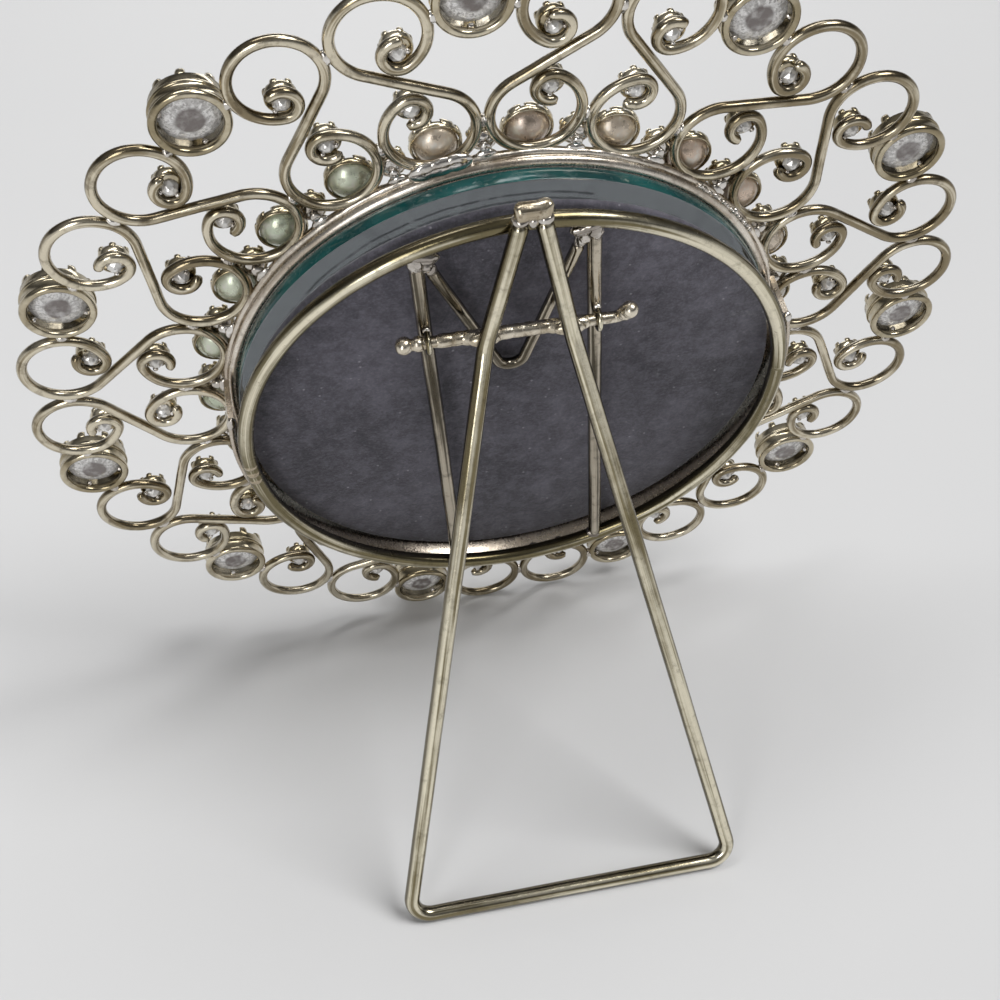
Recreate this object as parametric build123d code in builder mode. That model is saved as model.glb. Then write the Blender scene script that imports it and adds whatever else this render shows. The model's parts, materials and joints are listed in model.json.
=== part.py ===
"""Round photo frame of soldered wire scrolls with an easel leg, seen and measured from its back.

Millimetres and degrees. The ring is drawn as seen from the back: x to the right, y up the ring,
z out of the back. The stone cups' back rims lie at z = 0. In the world +Z is up, the picture
faces -Y, and the origin is the point where the lowest loop stands on the table.
"""

import math
import os

from build123d import *

os.makedirs("parts", exist_ok=True)

# Ring layout
STONE_COUNT = 11
POCKET_R = 43.05
SCROLL_BAND = 25.45
RING_TURN = 4.5
SOLDER_FILM = 0.05

# Scroll wire: two loops and two curls
SCROLL_WIRE = 1.6
SCROLL_Z = -0.6
LOOP_TOUCH = 3.74
CURL_R = 2.15
CURL_DIRECTION = 75.0
CURL_TURN = 235.0

# Cups of the large stones
CUP_R = 5.35
CUP_RIM = 1.2
CUP_WALL = 0.6
CUP_STEP = 0.25
CUP_DEPTH = 4.2
CUP_CLAWS = 8
CUP_CLAW_LENGTH = 1.4
CUP_CLAW_WIDTH = 1.3
STONE_SIDES = 12
STONE_FIT = 0.1
STONE_GIRDLE = 0.5
STONE_PAVILION = 2.4
STONE_CROWN = 1.1
STONE_TABLE = 0.58

# Small cups on the curls and between the inner loops
SMALL_CUP_R = 2.2
SMALL_CUP_WALL = 0.35
SMALL_CUP_DEPTH = 2.2
SMALL_CUP_FLOOR = 0.6
SMALL_CUP_CLAWS = 6
SMALL_CUP_CLAW_LENGTH = 0.8
SMALL_CUP_CLAW_WIDTH = 0.9
POST_FIT = 0.1
POST_LENGTH = 1.2
SMALL_STONE_SIDES = 8
SMALL_STONE_CROWN = 0.7
GAP_CUP_INSET = 3.0

# Cups of the coloured stones round the opening
RING_CUP_INSET = 2.3
RING_CUP_SHARE = 0.5885
RING_CUP_WALL = 0.45
RING_CUP_BACK = 1.5
RING_CUP_DEPTH = 1.9
RING_CUP_CLAWS = 8
RING_CUP_CLAW_LENGTH = 1.1
RING_CUP_CLAW_WIDTH = 1.1
RING_STONE_DOME = 1.9
RING_STONE_EDGE = 0.4
RING_STONE_CROWN = 1.0
RING_STONE_TABLE = 0.55

# Front ring, glass, board and the pocket that holds them
FRONT_RING_INSET = 0.75
FRONT_RING_WIRE = 2.1
FRONT_RING_Z = 0.7
GLASS_FIT = 1.15
GLASS_THICK = 2.3
GLASS_GAP = 0.1
BOARD_FIT = 1.85
BOARD_THICK = 1.1
BOARD_BACK_Z = 7.4
POCKET_RISE = 1.15
POCKET_WALL = 0.8
POCKET_OPEN = 78.5
POCKET_FLOOR_GAP = 0.3
POCKET_BACK_Z = 9.8

# Rear hoop, struts and backing spring
HOOP_INSET = 1.35
HOOP_WIRE = 2.5
HOOP_Z = 11.1
STRUT_WIRE = 2.2
STRUT_X = 12.3
LUMP_R = 2.2
LUMP_INSET = 5.4
SPRING_WIRE = 1.8
SPRING_TOP_SIDE = 1.9
SPRING_TOP_INSET = 6.5
SPRING_TOP_Z = 10.6
SPRING_FOOT_Y = 5.2
SPRING_BEND_R = 2.2
SPRING_BOARD_GAP = 0.25

# Pivot bar and eyes
BAR_WIRE = 1.8
BAR_Y = 22.4
BAR_STRUT_GAP = 0.2
BAR_LEFT = 17.4
BAR_RIGHT = 13.6
BAR_KNOB_R = 1.25
BAR_HOOK_UP = 2.6
BAR_HOOK_OUT = 1.1
BAR_HOOK_BACK = 1.2
BAR_ELBOW_R = 1.0
BAR_TIP_R = 1.05
EYE_WIRE = 0.8
EYE_FIT = 0.1

# Easel leg
LEG_WIRE = 2.5
LEG_SPLAY = 32.0
LEG_LENGTH = 96.4
LEG_TIP_HALF = 1.45
LEG_BAR_HALF = 6.2
LEG_FOOT_HALF = 27.6
LEG_TIP_RISE = 2.6
LEG_STOP_GAP = 0.2
LEG_BEND_R = 6.0
LEG_CORNER_R = 3.2
CAP_WIDTH = 5.6
CAP_HEIGHT = 3.0
CAP_THICK = 2.7
CAP_ROUND = 0.9

# Values that follow from the sizes above
PITCH = 360.0 / STONE_COUNT
HALF_PITCH = PITCH / 4.0
SCROLL_RADIUS = SCROLL_WIRE / 2
FRONT_RING_RADIUS = FRONT_RING_WIRE / 2
HOOP_RADIUS = HOOP_WIRE / 2
STRUT_RADIUS = STRUT_WIRE / 2
SPRING_RADIUS = SPRING_WIRE / 2
BAR_RADIUS = BAR_WIRE / 2
LEG_RADIUS = LEG_WIRE / 2
FRONT_SEAT_Z = SCROLL_Z - SCROLL_RADIUS - SOLDER_FILM

# The pocket sets the rings, the disc sizes and the circles of the stones
STONE_CIRCLE_R = POCKET_R + SCROLL_BAND
FRONT_RING_R = POCKET_R - FRONT_RING_INSET
HOOP_R = POCKET_R - HOOP_INSET
GLASS_R = POCKET_R - GLASS_FIT
BOARD_R = POCKET_R - BOARD_FIT
RING_CUP_CIRCLE_R = FRONT_RING_R + RING_CUP_INSET
GAP_CUP_CIRCLE_R = FRONT_RING_R + GAP_CUP_INSET
LUMP_Y = HOOP_R - LUMP_INSET
SPRING_TOP_X = STRUT_X - SPRING_TOP_SIDE
SPRING_TOP_Y = HOOP_R - SPRING_TOP_INSET
LEG_TIP_Y = HOOP_R + LEG_TIP_RISE

# Outer loops touch their twin at the junction and the stone cup at the other side
cup_t = STONE_CIRCLE_R * math.sin(math.radians(PITCH / 2))
cup_r = STONE_CIRCLE_R * math.cos(math.radians(PITCH / 2))
touch_cos = math.cos(math.radians(LOOP_TOUCH))
loop_room = cup_t - SCROLL_RADIUS - SOLDER_FILM / 2
loop_room -= (SCROLL_RADIUS + SOLDER_FILM + CUP_R) * touch_cos
OUTER_LOOP_R = loop_room / (1 + touch_cos)
outer_t = OUTER_LOOP_R + SCROLL_RADIUS + SOLDER_FILM / 2
outer_reach = OUTER_LOOP_R + SCROLL_RADIUS + SOLDER_FILM + CUP_R
outer_r = cup_r + math.sqrt(outer_reach**2 - (cup_t - outer_t) ** 2)

# Inner loops touch one another and the front ring
ring_reach = SCROLL_RADIUS + FRONT_RING_RADIUS + SOLDER_FILM
inner_low_r = FRONT_RING_R + math.sqrt(ring_reach**2 - (FRONT_RING_Z - SCROLL_Z) ** 2)
half_sine = math.sin(math.radians(HALF_PITCH))
inner_circle_r = (inner_low_r - SCROLL_RADIUS - SOLDER_FILM / 2) / (1 - half_sine)
INNER_LOOP_R = inner_circle_r * half_sine - SCROLL_RADIUS - SOLDER_FILM / 2
RING_CUP_R = RING_CUP_SHARE * INNER_LOOP_R
inner_t = inner_circle_r * half_sine
inner_r = inner_circle_r * math.cos(math.radians(HALF_PITCH))

# Straight waist of the scroll, the inside tangent of the two loops
waist_line = math.degrees(math.atan2(inner_r - outer_r, outer_t - inner_t))
waist_length = math.hypot(inner_r - outer_r, outer_t - inner_t)
waist_turn = math.degrees(math.acos((OUTER_LOOP_R + INNER_LOOP_R) / waist_length))
waist_angle = waist_line + waist_turn

# Curl centres in the frame of one junction, for the scroll on its left
curl_cos = math.cos(math.radians(CURL_DIRECTION))
curl_sin = math.sin(math.radians(CURL_DIRECTION))
outer_curl_t = -outer_t - (OUTER_LOOP_R - CURL_R) * curl_cos
outer_curl_r = outer_r - (OUTER_LOOP_R - CURL_R) * curl_sin
inner_curl_t = -inner_t + (INNER_LOOP_R - CURL_R) * curl_cos
inner_curl_r = inner_r + (INNER_LOOP_R - CURL_R) * curl_sin

# Bar and leg behind the struts
BAR_Z = HOOP_Z + STRUT_RADIUS + BAR_STRUT_GAP + BAR_RADIUS
leg_offset = (BAR_RADIUS + LEG_RADIUS + SOLDER_FILM) / math.cos(math.radians(LEG_SPLAY / 2))
leg_bend_y = BAR_Y + leg_offset * math.sin(math.radians(LEG_SPLAY / 2))
leg_bend_z = BAR_Z + leg_offset * math.cos(math.radians(LEG_SPLAY / 2))
leg_stop_z = HOOP_Z + HOOP_RADIUS + LEG_RADIUS + LEG_STOP_GAP
leg_rise = (LEG_TIP_Y - leg_bend_y) / (HOOP_R - leg_bend_y)
leg_tip_z = leg_bend_z + (leg_stop_z - leg_bend_z) * leg_rise
leg_foot_y = leg_bend_y - LEG_LENGTH * math.cos(math.radians(LEG_SPLAY))
leg_foot_z = leg_bend_z + LEG_LENGTH * math.sin(math.radians(LEG_SPLAY))

# The frame stands on its lowest outer loop and on the foot of the leg
loop_circle_r = math.hypot(outer_t, outer_r)
loop_swing = math.degrees(math.atan2(outer_t, outer_r))
loop_angles = []
for number in range(STONE_COUNT):
    loop_angles.append(PITCH * (number + 0.5) - loop_swing - RING_TURN)
    loop_angles.append(PITCH * (number + 0.5) + loop_swing - RING_TURN)
lowest_loop_y = min(loop_circle_r * math.cos(math.radians(angle)) for angle in loop_angles)
stand_y = lowest_loop_y - OUTER_LOOP_R
lean_across = stand_y - leg_foot_y
lean_along = leg_foot_z - SCROLL_Z
lean_step = SCROLL_RADIUS - LEG_RADIUS
lean_size = math.hypot(lean_across, lean_along)
LEAN = math.degrees(math.atan2(lean_along, lean_across) - math.acos(lean_step / lean_size))
lean_sin = math.sin(math.radians(LEAN))
lean_cos = math.cos(math.radians(LEAN))
centre_y = -(stand_y * lean_sin + SCROLL_Z * lean_cos)
centre_z = -(stand_y * lean_cos - SCROLL_Z * lean_sin) + SCROLL_RADIUS

back_face = Plane((0, centre_y, centre_z), (-1, 0, 0), (0, lean_cos, -lean_sin))
ring_face = Plane(back_face.location * Rotation(0, 0, RING_TURN))


def spot(plane, x, y, z):
    """Return the plane moved to a point given in its own directions."""
    return Plane(plane.from_local_coords((x, y, z)), plane.x_dir, plane.z_dir)


def spoke(steps):
    """Return the ring plane with y along the spoke that many pitches clockwise from the top."""
    return Plane(ring_face.location * Rotation(0, 0, -PITCH * steps))


def save(part, name):
    """Label one piece and write its file."""
    part.label = name
    export_step(part, f"parts/{name}.step")


def wire_along(path, radius):
    """Return round wire swept along a path."""
    with BuildSketch(Plane(path @ 0, z_dir=path % 0)) as section:
        Circle(radius)
    with BuildPart() as wire:
        sweep(sections=section.sketch, path=path)
    return wire.part


def scroll_wire(plane, side):
    """Return one scroll of a pair, side -1 on the left of the junction and 1 on the right."""
    turn = -side

    def facing(angle):
        return angle if side < 0 else 180.0 - angle

    outer_end = CURL_DIRECTION + 180.0
    with BuildLine(plane) as line:
        CenterArc(
            (-side * outer_curl_t, outer_curl_r),
            CURL_R,
            facing(outer_end + CURL_TURN),
            -turn * CURL_TURN,
        )
        CenterArc(
            (side * outer_t, outer_r),
            OUTER_LOOP_R,
            facing(outer_end),
            -turn * (outer_end - waist_angle),
        )
        leave = math.radians(waist_angle)
        Line(
            (
                -side * (-outer_t + OUTER_LOOP_R * math.cos(leave)),
                outer_r + OUTER_LOOP_R * math.sin(leave),
            ),
            (
                -side * (-inner_t - INNER_LOOP_R * math.cos(leave)),
                inner_r - INNER_LOOP_R * math.sin(leave),
            ),
        )
        CenterArc(
            (side * inner_t, inner_r),
            INNER_LOOP_R,
            facing(waist_angle + 180.0),
            turn * (CURL_DIRECTION + 180.0 - waist_angle),
        )
        CenterArc(
            (-side * inner_curl_t, inner_curl_r),
            CURL_R,
            facing(CURL_DIRECTION),
            turn * CURL_TURN,
        )
    return wire_along(line.wire(), SCROLL_RADIUS)


def claw_cup(radius, wall, depth, floor, claws, claw_length, claw_width):
    """Return a claw cup that opens to -z, its closed or open back at z = 0."""
    with BuildPart() as cup:
        Cylinder(radius, depth, align=(Align.CENTER, Align.CENTER, Align.MAX))
        with Locations((0, 0, -floor)):
            Cylinder(
                radius - wall,
                depth,
                align=(Align.CENTER, Align.CENTER, Align.MAX),
                mode=Mode.SUBTRACT,
            )
        slot = 2 * math.pi * radius / claws - claw_width
        with Locations((0, 0, -depth)):
            with PolarLocations(radius, claws):
                Box(
                    3 * wall,
                    slot,
                    2 * claw_length,
                    mode=Mode.SUBTRACT,
                )
    return cup.part


def cut_stone(radius, sides, pavilion, girdle, crown, table):
    """Return a faceted stone with its point towards +z and its girdle's back edge at z = 0."""
    corners = []
    for number in range(sides):
        around = 2 * math.pi * number / sides
        half = around + math.pi / sides
        corners.append((radius * math.cos(around), radius * math.sin(around), 0))
        corners.append((radius * math.cos(around), radius * math.sin(around), -girdle))
        corners.append(
            (radius * table * math.cos(half), radius * table * math.sin(half), -girdle - crown)
        )
    corners.append((0, 0, pavilion))
    with BuildPart() as stone:
        ConvexPolyhedron(corners)
    return stone.part


# Scrolls
for number in range(STONE_COUNT):
    junction = spoke(number + 0.5).offset(SCROLL_Z)
    save(scroll_wire(junction, -1), f"scroll_{2 * number + 1:02d}")
    save(scroll_wire(junction, 1), f"scroll_{2 * number + 2:02d}")

# Stone cups with a rolled back rim
tube_r = CUP_R - CUP_STEP
stone_r = tube_r - CUP_WALL - STONE_FIT
for number in range(STONE_COUNT):
    seat = spot(spoke(number), 0, STONE_CIRCLE_R, 0)
    with BuildPart(seat) as stone_cup:
        with Locations((0, 0, -CUP_RIM / 2)):
            Cylinder(
                tube_r,
                CUP_DEPTH + CUP_CLAW_LENGTH - CUP_RIM / 2,
                align=(Align.CENTER, Align.CENTER, Align.MAX),
            )
            Torus(CUP_R - CUP_RIM / 2, CUP_RIM / 2)
        Cylinder(CUP_R - CUP_RIM, 6 * CUP_DEPTH, mode=Mode.SUBTRACT)
        with Locations((0, 0, -CUP_RIM)):
            Cylinder(
                tube_r - CUP_WALL,
                2 * CUP_DEPTH,
                align=(Align.CENTER, Align.CENTER, Align.MAX),
                mode=Mode.SUBTRACT,
            )
        with Locations((0, 0, -CUP_DEPTH - CUP_CLAW_LENGTH)):
            with PolarLocations(tube_r, CUP_CLAWS):
                Box(
                    3 * CUP_WALL,
                    2 * math.pi * tube_r / CUP_CLAWS - CUP_CLAW_WIDTH,
                    2 * CUP_CLAW_LENGTH,
                    mode=Mode.SUBTRACT,
                )
    save(stone_cup.part, f"stone_cup_{number + 1:02d}")

# Large stones
large_stone = cut_stone(stone_r, STONE_SIDES, STONE_PAVILION, STONE_GIRDLE, STONE_CROWN, STONE_TABLE)
large_spots = []
for number in range(STONE_COUNT):
    large_spots.append(spot(spoke(number), 0, STONE_CIRCLE_R, -CUP_RIM - STONE_PAVILION))
with BuildPart() as large_stones:
    with Locations(*large_spots):
        add(large_stone)
save(large_stones.part, "large_stones")

# Small cups on the curls, each with a post in the curl
small_cup = claw_cup(
    SMALL_CUP_R,
    SMALL_CUP_WALL,
    SMALL_CUP_DEPTH,
    SMALL_CUP_FLOOR,
    SMALL_CUP_CLAWS,
    SMALL_CUP_CLAW_LENGTH,
    SMALL_CUP_CLAW_WIDTH,
)
with BuildPart() as post_cup:
    add(small_cup)
    Cylinder(
        CURL_R - SCROLL_RADIUS - POST_FIT,
        POST_LENGTH,
        align=(Align.CENTER, Align.CENTER, Align.MIN),
    )
small_stone = cut_stone(
    SMALL_CUP_R - SMALL_CUP_WALL - STONE_FIT,
    SMALL_STONE_SIDES,
    0.0,
    SMALL_CUP_DEPTH - SMALL_CUP_FLOOR - SMALL_CUP_CLAW_LENGTH,
    SMALL_STONE_CROWN,
    STONE_TABLE,
)
curl_spots = []
curl_stone_spots = []
stone_back_z = FRONT_SEAT_Z - SMALL_CUP_FLOOR - SOLDER_FILM
for number in range(STONE_COUNT):
    junction = spoke(number + 0.5)
    for side in (-1, 1):
        for t, r in ((outer_curl_t, outer_curl_r), (inner_curl_t, inner_curl_r)):
            curl_spots.append(spot(junction, -side * t, r, FRONT_SEAT_Z))
            curl_stone_spots.append(spot(junction, -side * t, r, stone_back_z))
with BuildPart() as curl_cups:
    with Locations(*curl_spots):
        add(post_cup.part)
save(curl_cups.part, "curl_cups")
with BuildPart() as curl_stones:
    with Locations(*curl_stone_spots):
        add(small_stone)
save(curl_stones.part, "curl_stones")

# Small cups in the gaps between the inner loops
gap_spots = []
gap_stone_spots = []
for number in range(2 * STONE_COUNT):
    gap_spots.append(spot(spoke(number / 2), 0, GAP_CUP_CIRCLE_R, FRONT_SEAT_Z))
    gap_stone_spots.append(spot(spoke(number / 2), 0, GAP_CUP_CIRCLE_R, stone_back_z))
with BuildPart() as gap_cups:
    with Locations(*gap_spots):
        add(small_cup)
save(gap_cups.part, "gap_cups")
with BuildPart() as gap_stones:
    with Locations(*gap_stone_spots):
        add(small_stone)
save(gap_stones.part, "gap_stones")

# Coloured stones round the opening, domed at the back, each in a low cup
ring_cup = claw_cup(
    RING_CUP_R,
    RING_CUP_WALL,
    RING_CUP_DEPTH,
    0.0,
    RING_CUP_CLAWS,
    RING_CUP_CLAW_LENGTH,
    RING_CUP_CLAW_WIDTH,
)
ring_stone_r = RING_CUP_R - RING_CUP_WALL - STONE_FIT
dome_r = (ring_stone_r**2 + RING_STONE_DOME**2) / (2 * RING_STONE_DOME)
ring_stone_edge_z = -RING_STONE_DOME - RING_STONE_EDGE
with BuildPart() as ring_stone:
    Cylinder(ring_stone_r, -ring_stone_edge_z, align=(Align.CENTER, Align.CENTER, Align.MAX))
    with Locations((0, 0, -dome_r)):
        Sphere(dome_r, mode=Mode.INTERSECT)
    with Locations((0, 0, ring_stone_edge_z)):
        Cone(
            ring_stone_r * RING_STONE_TABLE,
            ring_stone_r,
            RING_STONE_CROWN,
            align=(Align.CENTER, Align.CENTER, Align.MAX),
        )
ring_spots = []
ring_cup_spots = []
for number in range(2 * STONE_COUNT):
    around = spoke(number / 2 + 0.25)
    ring_spots.append(spot(around, 0, RING_CUP_CIRCLE_R, FRONT_SEAT_Z))
    ring_cup_spots.append(spot(around, 0, RING_CUP_CIRCLE_R, FRONT_SEAT_Z - RING_CUP_BACK))
with BuildPart() as ring_cups:
    with Locations(*ring_cup_spots):
        add(ring_cup)
save(ring_cups.part, "ring_cups")
with BuildPart() as ring_stones:
    with Locations(*ring_spots):
        add(ring_stone.part)
save(ring_stones.part, "ring_stones")

# Front ring
with BuildPart(ring_face.offset(FRONT_RING_Z)) as front_ring:
    Torus(FRONT_RING_R, FRONT_RING_RADIUS)
save(front_ring.part, "front_ring")

# Glass and board, standing on the bottom of the pocket
glass_front_z = FRONT_RING_Z + FRONT_RING_RADIUS + GLASS_GAP
pocket_floor_y = POCKET_RISE - POCKET_R
with BuildPart(spot(ring_face, 0, pocket_floor_y + POCKET_FLOOR_GAP + GLASS_R, glass_front_z)) as glass:
    Cylinder(GLASS_R, GLASS_THICK, align=(Align.CENTER, Align.CENTER, Align.MIN))
save(glass.part, "glass")
with BuildPart(spot(ring_face, 0, pocket_floor_y + POCKET_FLOOR_GAP + BOARD_R, BOARD_BACK_Z)) as board:
    Cylinder(BOARD_R, BOARD_THICK, align=(Align.CENTER, Align.CENTER, Align.MAX))
save(board.part, "backing_board")

# Pocket wall, open at the top
wall_front_z = FRONT_RING_Z + FRONT_RING_RADIUS + SOLDER_FILM
opening_x = 2 * POCKET_R * math.sin(math.radians(POCKET_OPEN))
opening_y = 2 * POCKET_R * math.cos(math.radians(POCKET_OPEN))
with BuildSketch(spot(ring_face, 0, POCKET_RISE, wall_front_z)) as wall_plan:
    Circle(POCKET_R + POCKET_WALL)
    Circle(POCKET_R, mode=Mode.SUBTRACT)
    Polygon(
        (0, 0),
        (opening_x, opening_y),
        (opening_x, 2 * POCKET_R),
        (-opening_x, 2 * POCKET_R),
        (-opening_x, opening_y),
        align=None,
        mode=Mode.SUBTRACT,
    )
with BuildPart() as pocket_wall:
    extrude(wall_plan.sketch, POCKET_BACK_Z - wall_front_z)
save(pocket_wall.part, "pocket_wall")

# Rear hoop
with BuildPart(ring_face.offset(HOOP_Z)) as rear_hoop:
    Torus(HOOP_R, HOOP_RADIUS)
save(rear_hoop.part, "rear_hoop")

# Backing spring, a V of wire that leans towards the board
spring_foot_z = BOARD_BACK_Z + SPRING_BOARD_GAP + SPRING_RADIUS
with BuildLine(ring_face) as spring_line:
    FilletPolyline(
        (-SPRING_TOP_X, SPRING_TOP_Y, SPRING_TOP_Z),
        (0, SPRING_FOOT_Y, spring_foot_z),
        (SPRING_TOP_X, SPRING_TOP_Y, SPRING_TOP_Z),
        radius=SPRING_BEND_R,
    )
save(wire_along(spring_line.wire(), SPRING_RADIUS), "backing_spring")
spring_room = wire_along(spring_line.wire(), SPRING_RADIUS + SOLDER_FILM)

# Struts with the solder lumps at their top ends
for side, name in ((-1, "strut_left"), (1, "strut_right")):
    with BuildPart(spot(ring_face, side * STRUT_X, 0, HOOP_Z)) as strut:
        Cylinder(STRUT_RADIUS, 2 * HOOP_R, rotation=(90, 0, 0))
        with Locations((0, LUMP_Y, 0)):
            Sphere(LUMP_R)
    with BuildPart(ring_face.offset(HOOP_Z)) as hoop_room:
        Torus(HOOP_R, HOOP_RADIUS + SOLDER_FILM)
    with BuildPart(ring_face.offset(HOOP_Z)) as inside_hoop:
        Cylinder(HOOP_R, 2 * HOOP_WIRE + 2 * LUMP_R)
    with BuildPart() as strut_body:
        add(strut.part)
        add(inside_hoop.part, mode=Mode.INTERSECT)
        add(hoop_room.part, mode=Mode.SUBTRACT)
        add(spring_room, mode=Mode.SUBTRACT)
    save(strut_body.part.solids().sort_by(SortBy.VOLUME)[-1], name)

# Eyes, wire staples that hold the bar on the struts
eye_r = BAR_RADIUS + EYE_FIT + EYE_WIRE / 2
turn_tan = math.tan(math.radians(RING_TURN))
turn_cos = math.cos(math.radians(RING_TURN))
for side, name in ((-1, "eye_left"), (1, "eye_right")):
    eye_x = side * STRUT_X / turn_cos - BAR_Y * turn_tan
    eye_foot_z = HOOP_Z + STRUT_RADIUS + SOLDER_FILM - BAR_Z
    eye_middle = back_face.from_local_coords((eye_x, BAR_Y, BAR_Z))
    with BuildLine(Plane(eye_middle, back_face.y_dir, back_face.x_dir)) as eye_line:
        Line((-eye_r, eye_foot_z), (-eye_r, 0))
        ThreePointArc((-eye_r, 0), (0, eye_r), (eye_r, 0))
        Line((eye_r, 0), (eye_r, eye_foot_z))
    save(wire_along(eye_line.wire(), EYE_WIRE / 2), name)

# Pivot bar with a knob at the left end and a hooked right end
bar_middle = spot(back_face, (BAR_RIGHT - BAR_LEFT) / 2, BAR_Y, BAR_Z)
bar_elbow = back_face.from_local_coords((BAR_RIGHT, BAR_Y, BAR_Z))
bar_hook = back_face.from_local_coords(
    (BAR_RIGHT + BAR_HOOK_OUT, BAR_Y + BAR_HOOK_UP, BAR_Z + BAR_HOOK_BACK)
)
hook_length = math.hypot(BAR_HOOK_OUT, BAR_HOOK_UP, BAR_HOOK_BACK)
with BuildPart() as pivot_bar:
    with Locations(bar_middle):
        Cylinder(BAR_RADIUS, BAR_LEFT + BAR_RIGHT, rotation=(0, 90, 0))
    with Locations(spot(back_face, -BAR_LEFT, BAR_Y, BAR_Z)):
        Sphere(BAR_KNOB_R)
    with Locations(bar_elbow):
        Sphere(BAR_ELBOW_R)
    with Locations(Plane(bar_elbow, z_dir=bar_hook - bar_elbow)):
        Cylinder(BAR_RADIUS, hook_length, align=(Align.CENTER, Align.CENTER, Align.MIN))
    with Locations(bar_hook):
        Sphere(BAR_TIP_R)
save(pivot_bar.part, "pivot_bar")

# Easel leg, one bent wire
with BuildLine(back_face) as leg_line:
    FilletPolyline(
        (-LEG_TIP_HALF, LEG_TIP_Y, leg_tip_z),
        (-LEG_BAR_HALF, leg_bend_y, leg_bend_z),
        (-LEG_FOOT_HALF, leg_foot_y, leg_foot_z),
        (LEG_FOOT_HALF, leg_foot_y, leg_foot_z),
        (LEG_BAR_HALF, leg_bend_y, leg_bend_z),
        (LEG_TIP_HALF, LEG_TIP_Y, leg_tip_z),
        radius=(LEG_BEND_R, LEG_CORNER_R, LEG_CORNER_R, LEG_BEND_R),
    )
save(wire_along(leg_line.wire(), LEG_RADIUS), "easel_leg")

# Brazed cap on the two ends of the leg wire
cap_y = LEG_TIP_Y + LEG_RADIUS * 0.3
with BuildPart(spot(back_face, 0, cap_y, leg_tip_z)) as leg_cap:
    Box(CAP_WIDTH, CAP_HEIGHT, CAP_THICK, align=(Align.CENTER, Align.MIN, Align.CENTER))
    fillet(leg_cap.edges(), CAP_ROUND)
save(leg_cap.part, "leg_cap")
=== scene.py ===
"""Looks of a round photo frame of soldered wire scrolls, standing on its wire leg.

Pieces are drawn in millimetres in the frame of the back: x to the right, y up the ring, z out of
the back, with the stone cups' back rims at z = 0. Each finished mesh is then turned into the
world frame, in metres.
"""

import json
import logging
import math
from collections.abc import Iterable, Sequence
from dataclasses import dataclass, field
from enum import Enum

import bmesh
import bpy
from mathutils import Matrix, Vector, noise

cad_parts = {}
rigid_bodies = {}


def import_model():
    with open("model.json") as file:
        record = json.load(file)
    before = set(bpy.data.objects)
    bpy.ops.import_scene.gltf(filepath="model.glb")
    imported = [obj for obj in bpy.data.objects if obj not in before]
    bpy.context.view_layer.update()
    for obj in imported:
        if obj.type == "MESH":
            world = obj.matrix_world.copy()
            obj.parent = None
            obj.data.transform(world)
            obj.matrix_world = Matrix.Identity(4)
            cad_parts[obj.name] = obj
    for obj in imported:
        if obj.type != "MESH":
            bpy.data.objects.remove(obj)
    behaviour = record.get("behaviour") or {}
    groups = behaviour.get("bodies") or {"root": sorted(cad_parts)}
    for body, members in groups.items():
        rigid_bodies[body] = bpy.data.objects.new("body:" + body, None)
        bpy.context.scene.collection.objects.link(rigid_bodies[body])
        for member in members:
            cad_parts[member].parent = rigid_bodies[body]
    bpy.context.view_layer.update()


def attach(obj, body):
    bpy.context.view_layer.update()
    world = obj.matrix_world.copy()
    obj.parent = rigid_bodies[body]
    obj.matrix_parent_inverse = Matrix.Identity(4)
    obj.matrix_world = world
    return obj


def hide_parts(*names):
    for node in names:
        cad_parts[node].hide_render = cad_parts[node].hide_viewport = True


LOG = logging.getLogger("photo_frame")
MM = 0.001
PATH_STEP = 0.3
BEAD_STEPS = 8
PRONG_SIDES = 8
ON_AXIS = 1e-6
FACET_CELLS = 2.7
FACES_FRONT = -0.05
WOBBLE_LENGTH = 9.0
SWELL_LENGTH = 2.6

Point = tuple[float, float, float]
Colour = tuple[float, float, float, float]


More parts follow.
